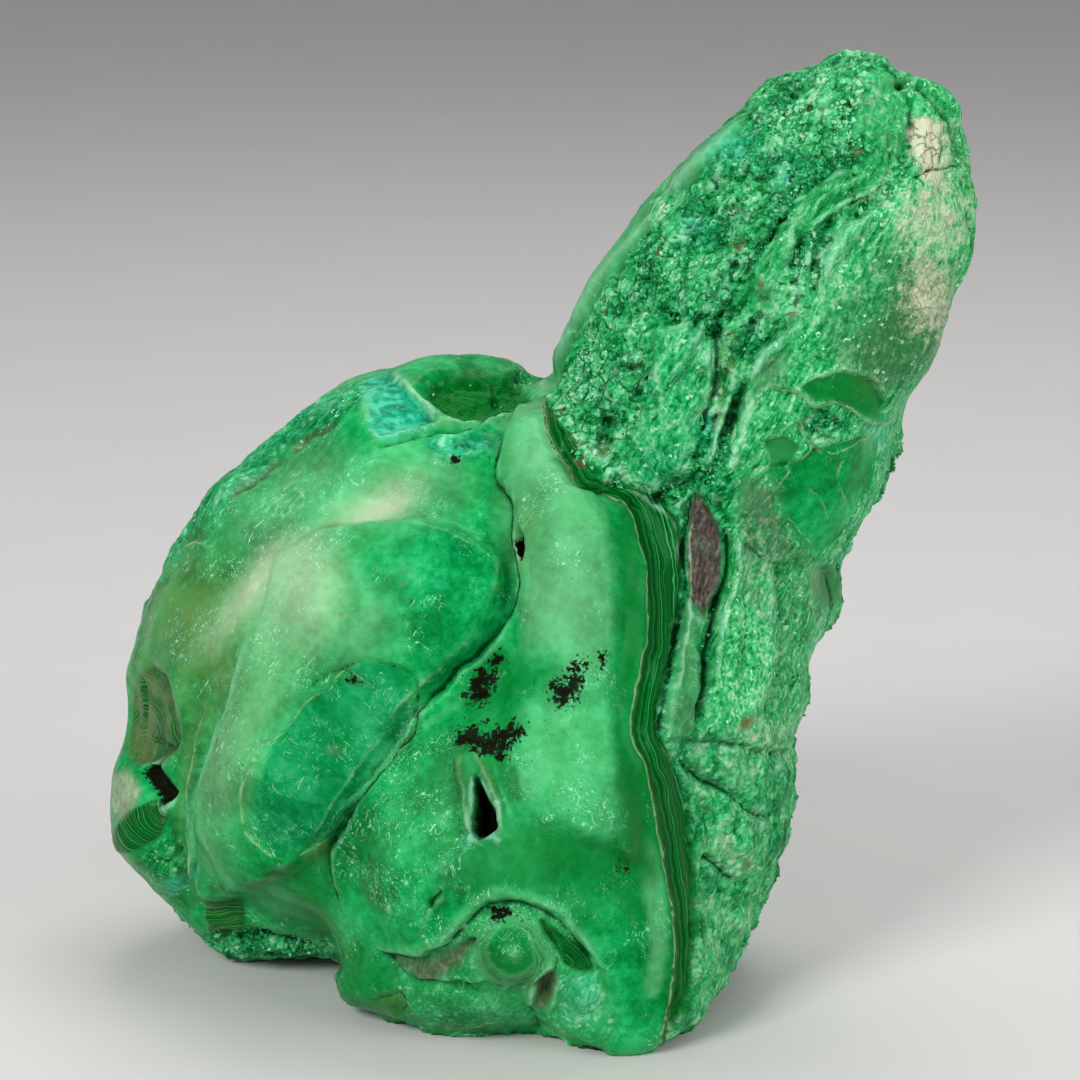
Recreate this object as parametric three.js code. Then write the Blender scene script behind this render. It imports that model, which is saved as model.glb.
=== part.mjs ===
// A malachite specimen: one natural lump of botryoidal malachite, standing on its own worn foot.
// Rounded growths of the mineral run into one another in three lobes: a wide mass on the left, a
// smooth crust that bulges forwards in the middle, and a rough matrix down the right that rises
// into a long horn, leaning up and to the right. Millimetres, +Z up, the crust faces -Y.

import * as THREE from "three";
import { SimplexNoise } from "three/addons/math/SimplexNoise.js";

// ---- driving dimensions, in mm ----
const CELL = 4; // side of the grid's cubes, which sets the triangle count
const GRID_LOW = new THREE.Vector3(-80, -30, -20);
const GRID_HIGH = new THREE.Vector3(84, 86, 160);
const BLEND = 7; // how widely two growths of one lobe run together
const CREASE = 3; // how widely two lobes run together
const LUMP = { size: 21, height: 1.5 }; // broad unevenness of the whole skin
const KNOB = { size: 9, height: 0.55 }; // finer unevenness
const PROBE = 0.05; // step that measures the slope of the skin
const FLATTEST = 0.25; // least slope squared, so that no corner is thrown far
const SETTLE_PASSES = 2; // times that a corner is moved onto the skin
const DRIFT_ROUNDS = 4; // times that the corners are evened out
const COLOUR = 0x2f9e57;

// The lump is three lobes, which meet along creases. Each lobe is a few growths that run into one
// another. A growth is an ellipsoid: its centre, its half-widths, and how far it leans to the
// right and back, in degrees.
const lobes = {
  left: [
    { name: "mass", centre: [-20, 35, 52], half: [38, 32, 45], lean: [14, 0] },
    { name: "shoulder", centre: [-49, 36, 40], half: [20, 24, 34], lean: [6, 0] },
    { name: "knob", centre: [-60, 30, 26], half: [9, 14, 12], lean: [0, 0] },
    { name: "foot", centre: [-43, 35, 20], half: [22, 24, 22], lean: [0, 0] },
    { name: "finger", centre: [-38, 12, 46], half: [12, 15, 28], lean: [18, 0] },
    { name: "waist", centre: [-17, 14, 58], half: [16, 17, 25], lean: [12, 0] },
    { name: "window", centre: [-29, 11, 36], half: [14, 17, 23], lean: [30, 0] },
    { name: "apron", centre: [-14, 9, 14], half: [21, 24, 19], lean: [0, 0] },
  ],
  crust: [
    { name: "column", centre: [6, 12, 46], half: [16, 25, 50], lean: [-4, 14] },
    { name: "belly", centre: [-9, 7, 28], half: [24, 27, 26], lean: [0, 0] },
    { name: "toe", centre: [9, 4, 9], half: [16, 20, 18], lean: [0, 0] },
  ],
  matrix: [
    { name: "strip", centre: [20, 22, 38], half: [16, 26, 44], lean: [4, 0] },
    { name: "strip top", centre: [32, 26, 82], half: [17, 20, 35], lean: [20, 0] },
    { name: "neck", centre: [21, 25, 92], half: [22, 21, 29], lean: [30, 0] },
    { name: "horn", centre: [33.5, 22, 108.5], half: [24.5, 21, 40], lean: [28, 0] },
    { name: "saddle", centre: [5, 29, 71], half: [18, 18, 20], lean: [0, 0] },
  ],
};

const noise = new SimplexNoise({ random: seededRandom(7) });
const lobeShapes = Object.values(lobes).map((growths) => growths.map(prepared));

// A repeatable source of numbers from 0 to 1.
function seededRandom(seed) {
  let state = seed;
  return () => {
    state = (state * 16807) % 2147483647;
    return state / 2147483647;
  };
}

// Puts each growth's lean into a turn that takes a point into the growth's own axes.
function prepared(growth) {
  const [right, back] = growth.lean.map(THREE.MathUtils.degToRad);
  const turn = new THREE.Quaternion().setFromEuler(new THREE.Euler(-back, right, 0, "YXZ"));
  return {
    centre: new THREE.Vector3(...growth.centre),
    half: new THREE.Vector3(...growth.half),
    unturn: turn.invert(),
  };
}

// How far a point is outside an ellipsoid, about; negative inside it.
function outside(growth, point) {
  const local = point.clone().sub(growth.centre).applyQuaternion(growth.unturn);
  const scaled = local.clone().divide(growth.half);
  const steep = scaled.clone().divide(growth.half).length();
  const reach = scaled.length();
  return steep > 0 ? (reach * (reach - 1)) / steep : -growth.half.z;
}

// The smallest of some distances, with a rounded valley of a given width where two are alike.
function blended(distances, width) {
  return distances.reduce((a, b) => {
    const mix = Math.max(width - Math.abs(a - b), 0) / width;
    return Math.min(a, b) - (mix * mix * width) / 4;
  });
}

function unevenness(point) {
  const at = (size) => noise.noise3d(point.x / size, point.y / size, point.z / size);
  return LUMP.height * at(LUMP.size) + KNOB.height * at(KNOB.size);
}

// How far a point is outside the whole lump, about.
function outsideLump(point) {
  const lobeDistances = lobeShapes.map((shapes) =>
    blended(shapes.map((shape) => outside(shape, point)), BLEND),
  );
  return blended(lobeDistances, CREASE) - unevenness(point);
}

// Moves a point along the steepest way until it lies on the skin.
function settle(point) {
  const probe = new THREE.Vector3();
  for (let pass = 0; pass < SETTLE_PASSES; pass++) {
    const here = outsideLump(point);
    const slope = new THREE.Vector3(
      outsideLump(probe.copy(point).setX(point.x + PROBE)) - here,
      outsideLump(probe.copy(point).setY(point.y + PROBE)) - here,
      outsideLump(probe.copy(point).setZ(point.z + PROBE)) - here,
    ).divideScalar(PROBE);
    point.addScaledVector(slope, -here / Math.max(slope.lengthSq(), FLATTEST));
  }
  return point;
}

// Lays a grid of cubes over the lump. Each grid edge that the skin crosses gives a four-sided
// patch between the four cubes around it, and each of those cubes gets one corner of the skin, at
// the middle of the crossings on its edges.
function skinNet() {
  const span = GRID_HIGH.clone().sub(GRID_LOW).divideScalar(CELL).ceil();
  const [wide, deep, tall] = span.toArray().map((steps) => steps + 1);
  const stride = [1, wide, wide * deep];
  const place = (n) =>
    new THREE.Vector3(
      n % wide,
      Math.floor(n / wide) % deep,
      Math.floor(n / stride[2]),
    ).multiplyScalar(CELL).add(GRID_LOW);
  const values = Float32Array.from({ length: wide * deep * tall }, (_, n) => outsideLump(place(n)));

  const cubes = new Map();
  const patches = [];
  for (let n = 0; n < values.length; n++) {
    stride.forEach((along, axis) => {
      const next = n + along;
      const crossed = next < values.length && values[n] < 0 !== values[next] < 0;
      if (!crossed) return;
      const share = values[n] / (values[n] - values[next]);
      const crossing = place(n).lerp(place(next), share);
      const [b, c] = [stride[(axis + 1) % 3], stride[(axis + 2) % 3]];
      const patch = [n, n - b, n - b - c, n - c];
      for (const cube of patch) {
        if (!cubes.has(cube)) cubes.set(cube, { number: cubes.size, crossings: [] });
        cubes.get(cube).crossings.push(crossing);
      }
      patches.push(values[n] < 0 ? patch : patch.reverse());
    });
  }
  return {
    points: [...cubes.values()].map((cube) => middleOf(cube.crossings)),
    patches: patches.map((patch) => patch.map((cube) => cubes.get(cube).number)),
  };
}

function middleOf(points) {
  const middle = new THREE.Vector3();
  points.forEach((point) => middle.add(point));
  return middle.divideScalar(points.length);
}

// Each corner drifts to the middle of its neighbours and settles on the skin again, which makes
// the patches even.
function evenedOut({ points, patches }) {
  const near = points.map(() => new Set());
  for (const patch of patches) {
    patch.forEach((corner, k) => {
      const next = patch[(k + 1) % 4];
      near[corner].add(next);
      near[next].add(corner);
    });
  }
  for (let round = 0; round < DRIFT_ROUNDS; round++) {
    points = near.map((ring) => settle(middleOf([...ring].map((k) => points[k]))));
  }
  return points;
}

// Splits a four-sided patch across its shorter way.
function trianglesOf([a, b, c, d], points) {
  return points[a].distanceTo(points[c]) < points[b].distanceTo(points[d])
    ? [a, b, c, a, c, d]
    : [a, b, d, b, c, d];
}

// What would go below the ground is worn flat, which makes the foot.
function specimenGeometry() {
  const net = skinNet();
  const points = evenedOut(net);
  points.forEach((point) => point.setZ(Math.max(point.z, 0)));
  const geometry = new THREE.BufferGeometry().setFromPoints(points);
  geometry.setIndex(net.patches.flatMap((patch) => trianglesOf(patch, points)));
  return geometry;
}

// Moves the foot's middle, as the bounding box has it, to the origin.
function standOnOrigin(geometry) {
  geometry.computeBoundingBox();
  const { min, max } = geometry.boundingBox;
  geometry.translate(-(min.x + max.x) / 2, -(min.y + max.y) / 2, -min.z);
  geometry.computeVertexNormals();
  return geometry;
}

const malachite = new THREE.MeshStandardMaterial({ color: COLOUR, roughness: 0.45, metalness: 0 });
const specimen = new THREE.Mesh(standOnOrigin(specimenGeometry()), malachite);
specimen.name = "malachite_lump";

const part = new THREE.Group();
part.add(specimen);

export default part;
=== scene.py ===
import math

import bpy
import numpy as np
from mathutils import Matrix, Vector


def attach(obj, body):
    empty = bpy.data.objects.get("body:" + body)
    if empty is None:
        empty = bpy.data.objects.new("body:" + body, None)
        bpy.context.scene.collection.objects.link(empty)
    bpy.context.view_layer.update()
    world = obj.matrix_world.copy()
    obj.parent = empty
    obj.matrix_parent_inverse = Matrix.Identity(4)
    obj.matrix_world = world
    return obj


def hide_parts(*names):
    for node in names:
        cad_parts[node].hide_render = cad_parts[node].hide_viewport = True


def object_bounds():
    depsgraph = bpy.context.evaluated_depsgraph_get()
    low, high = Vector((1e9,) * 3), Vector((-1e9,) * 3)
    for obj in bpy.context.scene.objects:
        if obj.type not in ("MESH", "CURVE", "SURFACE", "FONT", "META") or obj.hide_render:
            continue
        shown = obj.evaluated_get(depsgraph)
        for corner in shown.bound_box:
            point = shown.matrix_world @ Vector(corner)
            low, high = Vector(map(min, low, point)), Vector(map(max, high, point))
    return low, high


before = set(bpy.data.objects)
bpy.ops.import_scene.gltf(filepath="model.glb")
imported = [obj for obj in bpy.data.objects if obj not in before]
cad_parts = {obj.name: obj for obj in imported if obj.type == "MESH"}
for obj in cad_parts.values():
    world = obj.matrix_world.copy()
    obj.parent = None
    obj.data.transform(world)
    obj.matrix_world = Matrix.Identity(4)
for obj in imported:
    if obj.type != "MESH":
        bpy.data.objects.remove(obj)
cadLow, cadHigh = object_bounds()

# The malachite specimen: a smooth botryoidal crust in front, its broken layered edge, and a rough
# crystalline matrix that rises into the horn. Lengths in the script are millimetres.
mm = 0.001
boxMiddle = np.array([(low + high) / 2 / mm for low, high in zip(cadLow, cadHigh)])

viewSettings = {
    "elevation": 14,  # degrees that the camera looks down
    "distance": 540,  # from the point that it looks at
    "lens": 120,  # focal length
    "sensor": 36,  # width of the film
    "aim": (2, -18, 2),  # the point that it looks at, from the middle of the box
}
aim = boxMiddle + np.array(viewSettings["aim"])


def addCamera(settings):
    tip = math.radians(settings["elevation"])
    camera = bpy.data.objects.new("camera", bpy.data.cameras.new("camera"))
    camera.data.lens = settings["lens"]
    camera.data.sensor_width = settings["sensor"]
    away = np.array([0, -math.cos(tip), math.sin(tip)]) * settings["distance"]
    camera.location = (aim + away) * mm
    camera.rotation_euler = (math.pi / 2 - tip, 0, 0)
    bpy.context.scene.collection.objects.link(camera)
    bpy.context.scene.camera = camera


addCamera(viewSettings)
print("camera placed")


# eased step from 0 at low to 1 at high
def rise(value, low, high):
    share = np.clip((value - low) / (high - low), 0, 1)
    return share * share * (3 - 2 * share)


latticeSize = 32
lattice = np.random.default_rng(5).uniform(-1, 1, (latticeSize,) * 3).astype(np.float32)


# smooth noise from -1 to 1, with lumps of a given size
def noise(points, size, shift=0.0):
    scaled = points / size + 11.7 * shift
    whole = np.floor(scaled).astype(np.int32)
    part = scaled - whole
    part = part * part * (3 - 2 * part)
    total = np.zeros(len(points), np.float32)
    for corner in np.ndindex(2, 2, 2):
        weight = np.prod(np.where(corner, part, 1 - part), axis=1)
        i, j, k = ((whole + corner) % latticeSize).T
        total += weight * lattice[i, j, k]
    return total * 1.4


# distance to the nearest of the scattered points, one in each cell of a given size, in cells
def cells(points, size, shift=0.0):
    scaled = points / size + 5.3 * shift
    whole = np.floor(scaled).astype(np.int32)
    nearest = np.full(len(points), 9.0, np.float32)
    for corner in np.ndindex(3, 3, 3):
        home = whole + np.array(corner) - 1
        i, j, k = (home % latticeSize).T
        seed = np.stack([lattice[i, j, k], lattice[j, k, i], lattice[k, i, j]], axis=1)
        gap = home + 0.5 + 0.42 * seed - scaled
        nearest = np.minimum(nearest, (gap * gap).sum(axis=1))
    return np.sqrt(nearest)


# a smooth curve through points, a closed one if asked
def curveThrough(points, closed=False, steps=5):
    points = np.array(points, float)
    if closed:
        before, after = points[-1:], points[:2]
    else:
        before, after = 2 * points[:1] - points[1:2], 2 * points[-1:] - points[-2:-1]
    padded = np.concatenate([before, points, after])
    path = []
    for a, b, c, d in zip(padded, padded[1:], padded[2:], padded[3:]):
        for t in np.arange(steps) / steps:
            path.append(b + 0.5 * t * (c - a + t * (2 * a - 5 * b + 4 * c - d + t * (3 * (b - c) + d - a))))
    path.append(points[0] if closed else points[-1])
    return np.array(path)


# distance from each spot to a path, the side it lies on, and how far along the path that is
def nearestOn(path, spots):
    best = np.full(len(spots), 1e9)
    side = np.ones(len(spots))
    along = np.zeros(len(spots))
    lengths = np.linalg.norm(np.diff(path, axis=0), axis=1)
    starts = np.concatenate([[0], np.cumsum(lengths)])
    for a, b, start, length in zip(path, path[1:], starts, lengths):
        if length == 0:
            continue
        way = (b - a) / length
        rel = spots - a
        reach = np.clip(rel @ way, 0, length)
        gap = rel - reach[:, None] * way
        distance = (gap * gap).sum(axis=1)
        closer = distance < best
        best[closer] = distance[closer]
        side[closer] = np.sign(way[0] * rel[closer, 1] - way[1] * rel[closer, 0] + 1e-9)
        along[closer] = (start + reach[closer]) / starts[-1]
    return np.sqrt(best), side, along


# how far outside a closed path each spot is; negative inside
def outsideOf(path, spots):
    gap, _, _ = nearestOn(path, spots)
    inside = np.zeros(len(spots), bool)
    for (ax, ah), (bx, bh) in zip(path, path[1:]):
        if ah == bh:
            continue
        spans = (ah > spots[:, 1]) != (bh > spots[:, 1])
        inside ^= spans & (spots[:, 0] < ax + (spots[:, 1] - ah) * (bx - ax) / (bh - ah))
    return np.where(inside, -gap, gap)


# what a mark may change besides the height; each is 0 where no mark reaches
channels = (
    "rough",  # crystalline, not smooth
    # pale: paler tones of the mineral, and painted sheen and highlight on the smooth crust
    "pale",
    "teal",
    "olive",
    # deep: also painted shade in creases and where the crust turns from the light
    "deep",  # smooth dark green
    # cream: beige skin, and painted highlight on the left lobe
    "cream",
    "black",
    "mauve",
    "layered",
    "mottled",  # streaky and flecked, not quite smooth
    "rust",
    "worn",  # scratched and flecked
)
farFromMark = 3.0  # a crack or a seam this far off doesn't show


# The skin of the specimen as arrays. Marks are drawn on it from one side at a time: look() lays a
# flat sheet through a given middle, x to the right and h up from there, and line(), oval() and
# area() mark what that side shows. They fade in as the skin turns from least to full towards it.
class Skin:
    def __init__(self, mesh):
        self.mesh = mesh
        count = len(mesh.vertices)
        self.points = np.empty(count * 3, np.float32)
        self.normals = np.empty(count * 3, np.float32)
        mesh.vertices.foreach_get("co", self.points)
        mesh.vertex_normals.foreach_get("vector", self.normals)
        self.points = self.points.reshape(-1, 3) / mm
        self.normals = self.normals.reshape(-1, 3)
        self.height = np.zeros(count)
        self.channels = {name: np.zeros(count) for name in channels}
        self.crack = np.full(count, farFromMark)  # distance to the nearest dark crack
        self.seam = np.full(count, farFromMark)  # distance to the nearest pale line
        self.layer = np.zeros(count)  # runs across the layers of a broken edge
        self.unrest = 0.7 * noise(self.points, 5, 25) + 0.3 * noise(self.points, 1.8, 26)  # of rings
        self.wobble = np.stack(
            [0.26 * noise(self.points, 3.1, s) + 0.12 * noise(self.points, 1.1, s) for s in (1, 2)],
            axis=1,
        )

    def look(self, azimuth, elevation, middle, least=-0.12, full=0.08):
        turn, tip = math.radians(azimuth), math.radians(elevation)
        right = np.array([math.cos(turn), math.sin(turn), 0])
        up = np.array([-math.sin(turn) * math.sin(tip), math.cos(turn) * math.sin(tip), math.cos(tip)])
        towards = np.cross(right, up)
        offset = self.points - middle
        near = viewSettings["distance"] / (viewSettings["distance"] - offset @ towards)
        self.spots = np.stack([offset @ right * near, offset @ up * near], axis=1) + self.wobble
        sight = towards * viewSettings["distance"] - offset
        facing = (self.normals * sight).sum(axis=1) / np.linalg.norm(sight, axis=1)
        self.facing, self.shown = facing, rise(facing, least, full)

    # numbers of the shown vertices that are within reach of a path
    def around(self, path, reach):
        low, high = path.min(axis=0) - reach, path.max(axis=0) + reach
        near = ((self.spots > low) & (self.spots < high)).all(axis=1) & (self.shown > 0)
        return np.flatnonzero(near)

    def mix(self, picked, share, wanted):
        for name, value in wanted.items():
            channel = self.channels[name]
            channel[picked] += (value - channel[picked]) * share * self.shown[picked]

    # A groove (or a ridge, with a negative depth), a step that raises its left-hand side, a dark
    # crack, and a pale seam, any of them.
    def line(self, points, depth=0, width=0.5, step=0, reach=3, crack=0, seam=0, fade=0.12, **wanted):
        path = curveThrough(points)
        picked = self.around(path, max(3 * reach, 4))
        gap, side, along = nearestOn(path, self.spots[picked])
        shown = self.shown[picked]
        ends = rise(along, 0, fade) * rise(1 - along, 0, fade)
        bump = -depth * np.exp(-((gap / width) ** 2))
        bump += step / 2 * side * np.tanh(gap / 0.5) * np.exp(-gap / reach)
        self.height[picked] += bump * ends * shown
        hidden = farFromMark * (1 - shown)
        if crack:
            self.crack[picked] = np.minimum(self.crack[picked], gap - crack * ends + hidden)
        if seam:
            self.seam[picked] = np.minimum(self.seam[picked], gap - seam * ends + hidden)
        self.mix(picked, np.clip(0.5 - (gap - width) / 1.2, 0, 1) * ends, wanted)

    # An oval swelling, or a hollow with a negative height.
    def oval(self, at, half, turn=0, height=0, edge=0.6, rings=False, **wanted):
        corner = np.array(half).max() * 1.6 + 2
        picked = self.around(np.array([at, at]), corner)
        rel = self.spots[picked] - at
        lean = math.radians(turn)
        across = rel[:, 0] * math.cos(lean) - rel[:, 1] * math.sin(lean)
        upright = rel[:, 0] * math.sin(lean) + rel[:, 1] * math.cos(lean)
        reach = np.hypot(across / half[0], upright / half[1])
        dome = 0.5 + 0.5 * np.cos(math.pi * np.clip(reach, 0, 1))
        self.height[picked] += height * dome * self.shown[picked]
        share = np.clip(0.5 - (reach - 1) * min(half) / (2 * edge), 0, 1)
        if rings:
            ringed = reach * min(half) + self.unrest[picked]
            self.layer[picked] += (ringed - self.layer[picked]) * (share > 0)
            wanted = {"layered": 1.0, **wanted}
        self.mix(picked, share, wanted)

    # Moves the outline in or out where it passes a place.
    def nudge(self, at, half, height):
        reach = np.hypot((self.spots[:, 0] - at[0]) / half[0], (self.spots[:, 1] - at[1]) / half[1])
        dome = 0.5 + 0.5 * np.cos(math.pi * np.clip(reach, 0, 1))
        self.height += height * dome * np.exp(-((self.facing / 0.6) ** 2))

    # A patch inside an outline, raised or sunk. If it shows layers, they follow a path, or are rings
    # about a place.
    def area(self, outline, height=0, slope=0.8, edge=0.6, layersFrom=None, ringsFrom=None, curved=True,
             **wanted):
        if curved:
            path = curveThrough(outline, closed=True)
        else:
            path = np.array([*outline, outline[0]], float)
        picked = self.around(path, max(slope, edge) + 1)
        outside = outsideOf(path, self.spots[picked])
        self.height[picked] += height * rise(-outside, -slope / 2, slope / 2) * self.shown[picked]
        share = np.clip(0.5 - outside / (2 * edge), 0, 1)
        if layersFrom is not None:
            gap, side, _ = nearestOn(curveThrough(layersFrom), self.spots[picked])
            self.layer[picked] += (gap * side - self.layer[picked]) * (share > 0)
            wanted = {"layered": 1.0, **wanted}
        if ringsFrom is not None:
            centre = picked[np.linalg.norm(self.spots[picked] - ringsFrom, axis=1).argmin()]
            gap = np.linalg.norm(self.points[picked] - self.points[centre], axis=1) + self.unrest[picked]
            self.layer[picked] += (gap - self.layer[picked]) * (share > 0)
            wanted = {"layered": 1.0, **wanted}
        self.mix(picked, share, wanted)


lumpSettings = {
    "voxel": 1.6,  # size of the first even grid on the skin
    "softening": 20,  # rounds that take the facets off
    "refinements": 2,  # each halves the grid
    "swell": 0.4,  # gives back what the softening takes
    "triangles": 190000,
    "favour": 0.0002,  # how strongly the front keeps its detail when the skin is thinned
    "foot": 0.25,  # what is lower than this rests on the ground
    "neighbourhood": 14,  # rounds of averaging that find what lies in a hollow
    "deepest": -2.5,  # a deeper hollow doesn't darken what is round it any more
}


# an even, rounded, fine copy of the lump's skin
def fineCopy(node, settings):
    source = bpy.data.objects.new("source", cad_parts[node].data.copy())
    bpy.context.scene.collection.objects.link(source)
    weld = source.modifiers.new("weld", "WELD")
    weld.merge_threshold = 0.001 * mm
    remesh = source.modifiers.new("remesh", "REMESH")
    remesh.mode = "VOXEL"
    remesh.voxel_size = settings["voxel"] * mm
    soften = source.modifiers.new("soften", "SMOOTH")
    soften.iterations = settings["softening"]
    refine = source.modifiers.new("refine", "SUBSURF")
    refine.levels = settings["refinements"]
    seen = source.evaluated_get(bpy.context.evaluated_depsgraph_get())
    mesh = bpy.data.meshes.new_from_object(seen)
    bpy.data.objects.remove(source)
    return mesh


skin = Skin(fineCopy("malachite_lump", lumpSettings))
print("skin of", len(skin.points), "points")

# the lines that the front is built on, from the top down
crustEdge = [
    (0, 22), (1.5, 15), (4, 11), (6, 8), (9, 7), (12.5, 5), (14, 1.5), (15, -3), (15.5, -9), (15.5, -15),
    (14.5, -21), (13.5, -26), (13.5, -30), (15, -34), (17, -42), (18.5, -51), (19.5, -60), (19, -69),
    (17.5, -76),
]
matrixEdge = [
    (9, 9), (13, 8.5), (17, 7), (20.5, 3), (21.5, -3), (21, -10.5), (19, -21), (17.5, -28), (20, -33),
    (22, -39), (22.5, -48), (23, -58), (22, -67), (18.5, -75),
]
mainCrack = [
    (0, 23), (-4, 17.5), (-5.5, 14.5), (-7, 10), (-5, 7), (-4, 4), (-4, -1), (-3, -5), (-3.5, -9), (-5, -12),
    (-9, -17), (-13, -20), (-15, -22.5), (-18, -25.5), (-19, -29), (-22, -32.5),
]
bellyEdge = [
    (-19, -29), (-22, -32.5), (-25.5, -37), (-29.5, -43), (-31.5, -46), (-31.5, -50), (-29.5, -55),
    (-25.5, -60), (-23, -63.5), (-20.5, -66), (-17, -67), (-8, -67), (-3, -69),
]
hornBoundary = [
    (55, 70), (56.5, 63), (55.5, 56), (54, 52.5), (51.5, 50), (48, 48.5), (45.5, 47), (43, 43.5), (42.5, 39),
    (40, 34), (36, 31), (33, 29), (31.5, 25.5), (30, 20), (29, 13.5),
]
brokenLip = [
    (-24, -61.5), (-18.7, -62.8), (-14.4, -61), (-10.8, -57), (-7.2, -54.3), (-2.2, -54.3), (2.9, -57),
    (6.5, -61.3), (9.4, -65),
]
hornRimInner = [(0, 22), (4, 27.5), (8, 33.5), (11.5, 39.5), (15.5, 45), (19.5, 50), (24, 55.5), (31, 63)]


# what is rough away from the front: the matrix, and patches of the rest
def ageAllRound():
    x, _, z = skin.points.T
    patches = noise(skin.points, 15, 3) + 0.4 * noise(skin.points, 6, 4)
    matrix = rise(x - 10 - 0.12 * z + 6 * patches, 0, 3)
    hornSkin = rise(z - 88 + 12 * patches, 0, 5) * rise(x, 12, 22)
    bare = rise(patches, 0.42, 0.55)
    skin.channels["rough"] = np.maximum(matrix * (1 - 0.65 * hornSkin), 0.8 * bare)
    skin.channels["olive"] = 0.5 * rise(noise(skin.points, 12, 6), 0.2, 0.7)
    skin.channels["pale"] = 0.35 * rise(noise(skin.points, 16, 7), 0.1, 0.8)
    skin.channels["cream"] = 0.5 * hornSkin * rise(noise(skin.points, 8, 8), 0.35, 0.7)
    behind = rise(skin.normals[:, 1], -0.2, 0.3)
    skin.channels["mottled"] = np.maximum(0.8 * hornSkin, behind * rise(noise(skin.points, 11, 16), 0.1, 0.4))
    low = rise(14 - z + 5 * patches, 0, 5)
    skin.channels["rough"] = np.maximum(skin.channels["rough"], 0.7 * low)


bubbleSettings = [{"size": 17, "height": 3.2, "shift": 1}, {"size": 7.5, "height": 0.9, "shift": 2}]


# rounded bubbles of the mineral over the back and the sides
def bubblesBehind(settings):
    behind = rise(skin.normals[:, 1], 0, 0.5) * (1 - 0.7 * skin.channels["rough"])
    for bubble in settings:
        dome = np.clip(1 - cells(skin.points, bubble["size"], bubble["shift"]) ** 2 * 1.4, 0, 1)
        skin.height += behind * bubble["height"] * (dome - 0.5)


def drawFront():
    skin.look(0, viewSettings["elevation"], aim)
    # the smooth crust, then the matrix beside it
    crust = [(-70, -10), (-66, -45), (-50, -70), (10, -85), *crustEdge[::-1], (-4, 24), (-30, 24), (-50, 10)]
    skin.area(crust, curved=False, rough=0, pale=0, olive=0, cream=0, mottled=0)
    matrix = [*matrixEdge, (22, -90), (80, -80), (80, 90), (0, 90), (-1, 23), (4, 15)]
    skin.area(matrix, curved=False, rough=0.6, pale=0.1, olive=0.1, cream=0)
    skin.area([*crustEdge, *matrixEdge[::-1]], curved=False, layersFrom=crustEdge, rough=0, deep=1,
              olive=0, pale=0, cream=0, mottled=0)
    # where the lump's own outline stands a little too far in or out
    for at, half, height in (((42, -11), (9, 9), 3.0), ((38.5, -22), (8, 9), 1.8),
                             ((62, 26), (10, 16), 1.7), ((66, 45), (8, 12), 1.2),
                             ((58, 70), (7, 6), -2.0), ((46, 73), (7, 5), 1.2), ((28, 64), (9, 8), -1.6),
                             ((8, 39), (10, 16), 1.4), ((-0.5, 24), (6, 5), -2.2),
                             ((-61, -46), (7, 10), 2.2), ((-29, -67), (9, 6), 2.2),
                             ((-62, -14), (6, 8), -0.8)):
        skin.nudge(at, half, height)
    for draw in (
        drawHornFaces,
        drawHornSwirls,
        drawHornLedges,
        drawHornClumps,
        drawHornFlakes,
        drawHornTip,
        drawFacets,
        drawLens,
        drawStripAndFoot,
        drawBrokenEdge,
        drawMainCrack,
        drawColumnSheen,
        drawDarkerParts,
        drawSpotsAndVoid,
        drawFinger,
        drawWindow,
        drawUpperRim,
        drawPatchAndBowl,
        drawFan,
        drawBrokenLip,
        drawLipHollows,
        drawNest,
    ):
        draw()


# the drusy face, the band of crust along its left side, the streaky skin on its right
def drawHornFaces():
    drusy = [*hornRimInner, (42, 73), (50, 72), (55, 68), *hornBoundary[1:], (22, 2), (20, 5), (12, 8),
             (5, 12)]
    skin.area(drusy, curved=False, height=-0.5, slope=1.2, rough=1, mottled=0, pale=0.15, olive=0.1)
    rim = [(x - 5.5, h + 4.5) for x, h in hornRimInner]
    skin.area([*hornRimInner, *rim[::-1]], curved=False, rough=0, mottled=0, cream=0, pale=0.15)
    skin.line([(x - 0.9, h + 0.7) for x, h in hornRimInner], depth=-0.4, width=0.3, cream=0.35, pale=1,
              teal=0.6, fade=0.03)
    skin.line([(x - 0.2, h + 0.1) for x, h in hornRimInner], depth=0.6, width=0.4, fade=0.03)
    right = [*hornBoundary, (34, 4), (42, -3), (60, 10), (70, 40), (70, 70)]
    skin.area(right, curved=False, rough=0.1, mottled=1, pale=0.35)
    skin.line(hornBoundary, depth=0.5, width=0.5, step=1.4, reach=4, fade=0.03)
    skin.line([(x - 1.6, h - 0.4) for x, h in hornBoundary[2:12]], depth=0.35, width=0.4, fade=0.1, rough=0.4)


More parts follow.
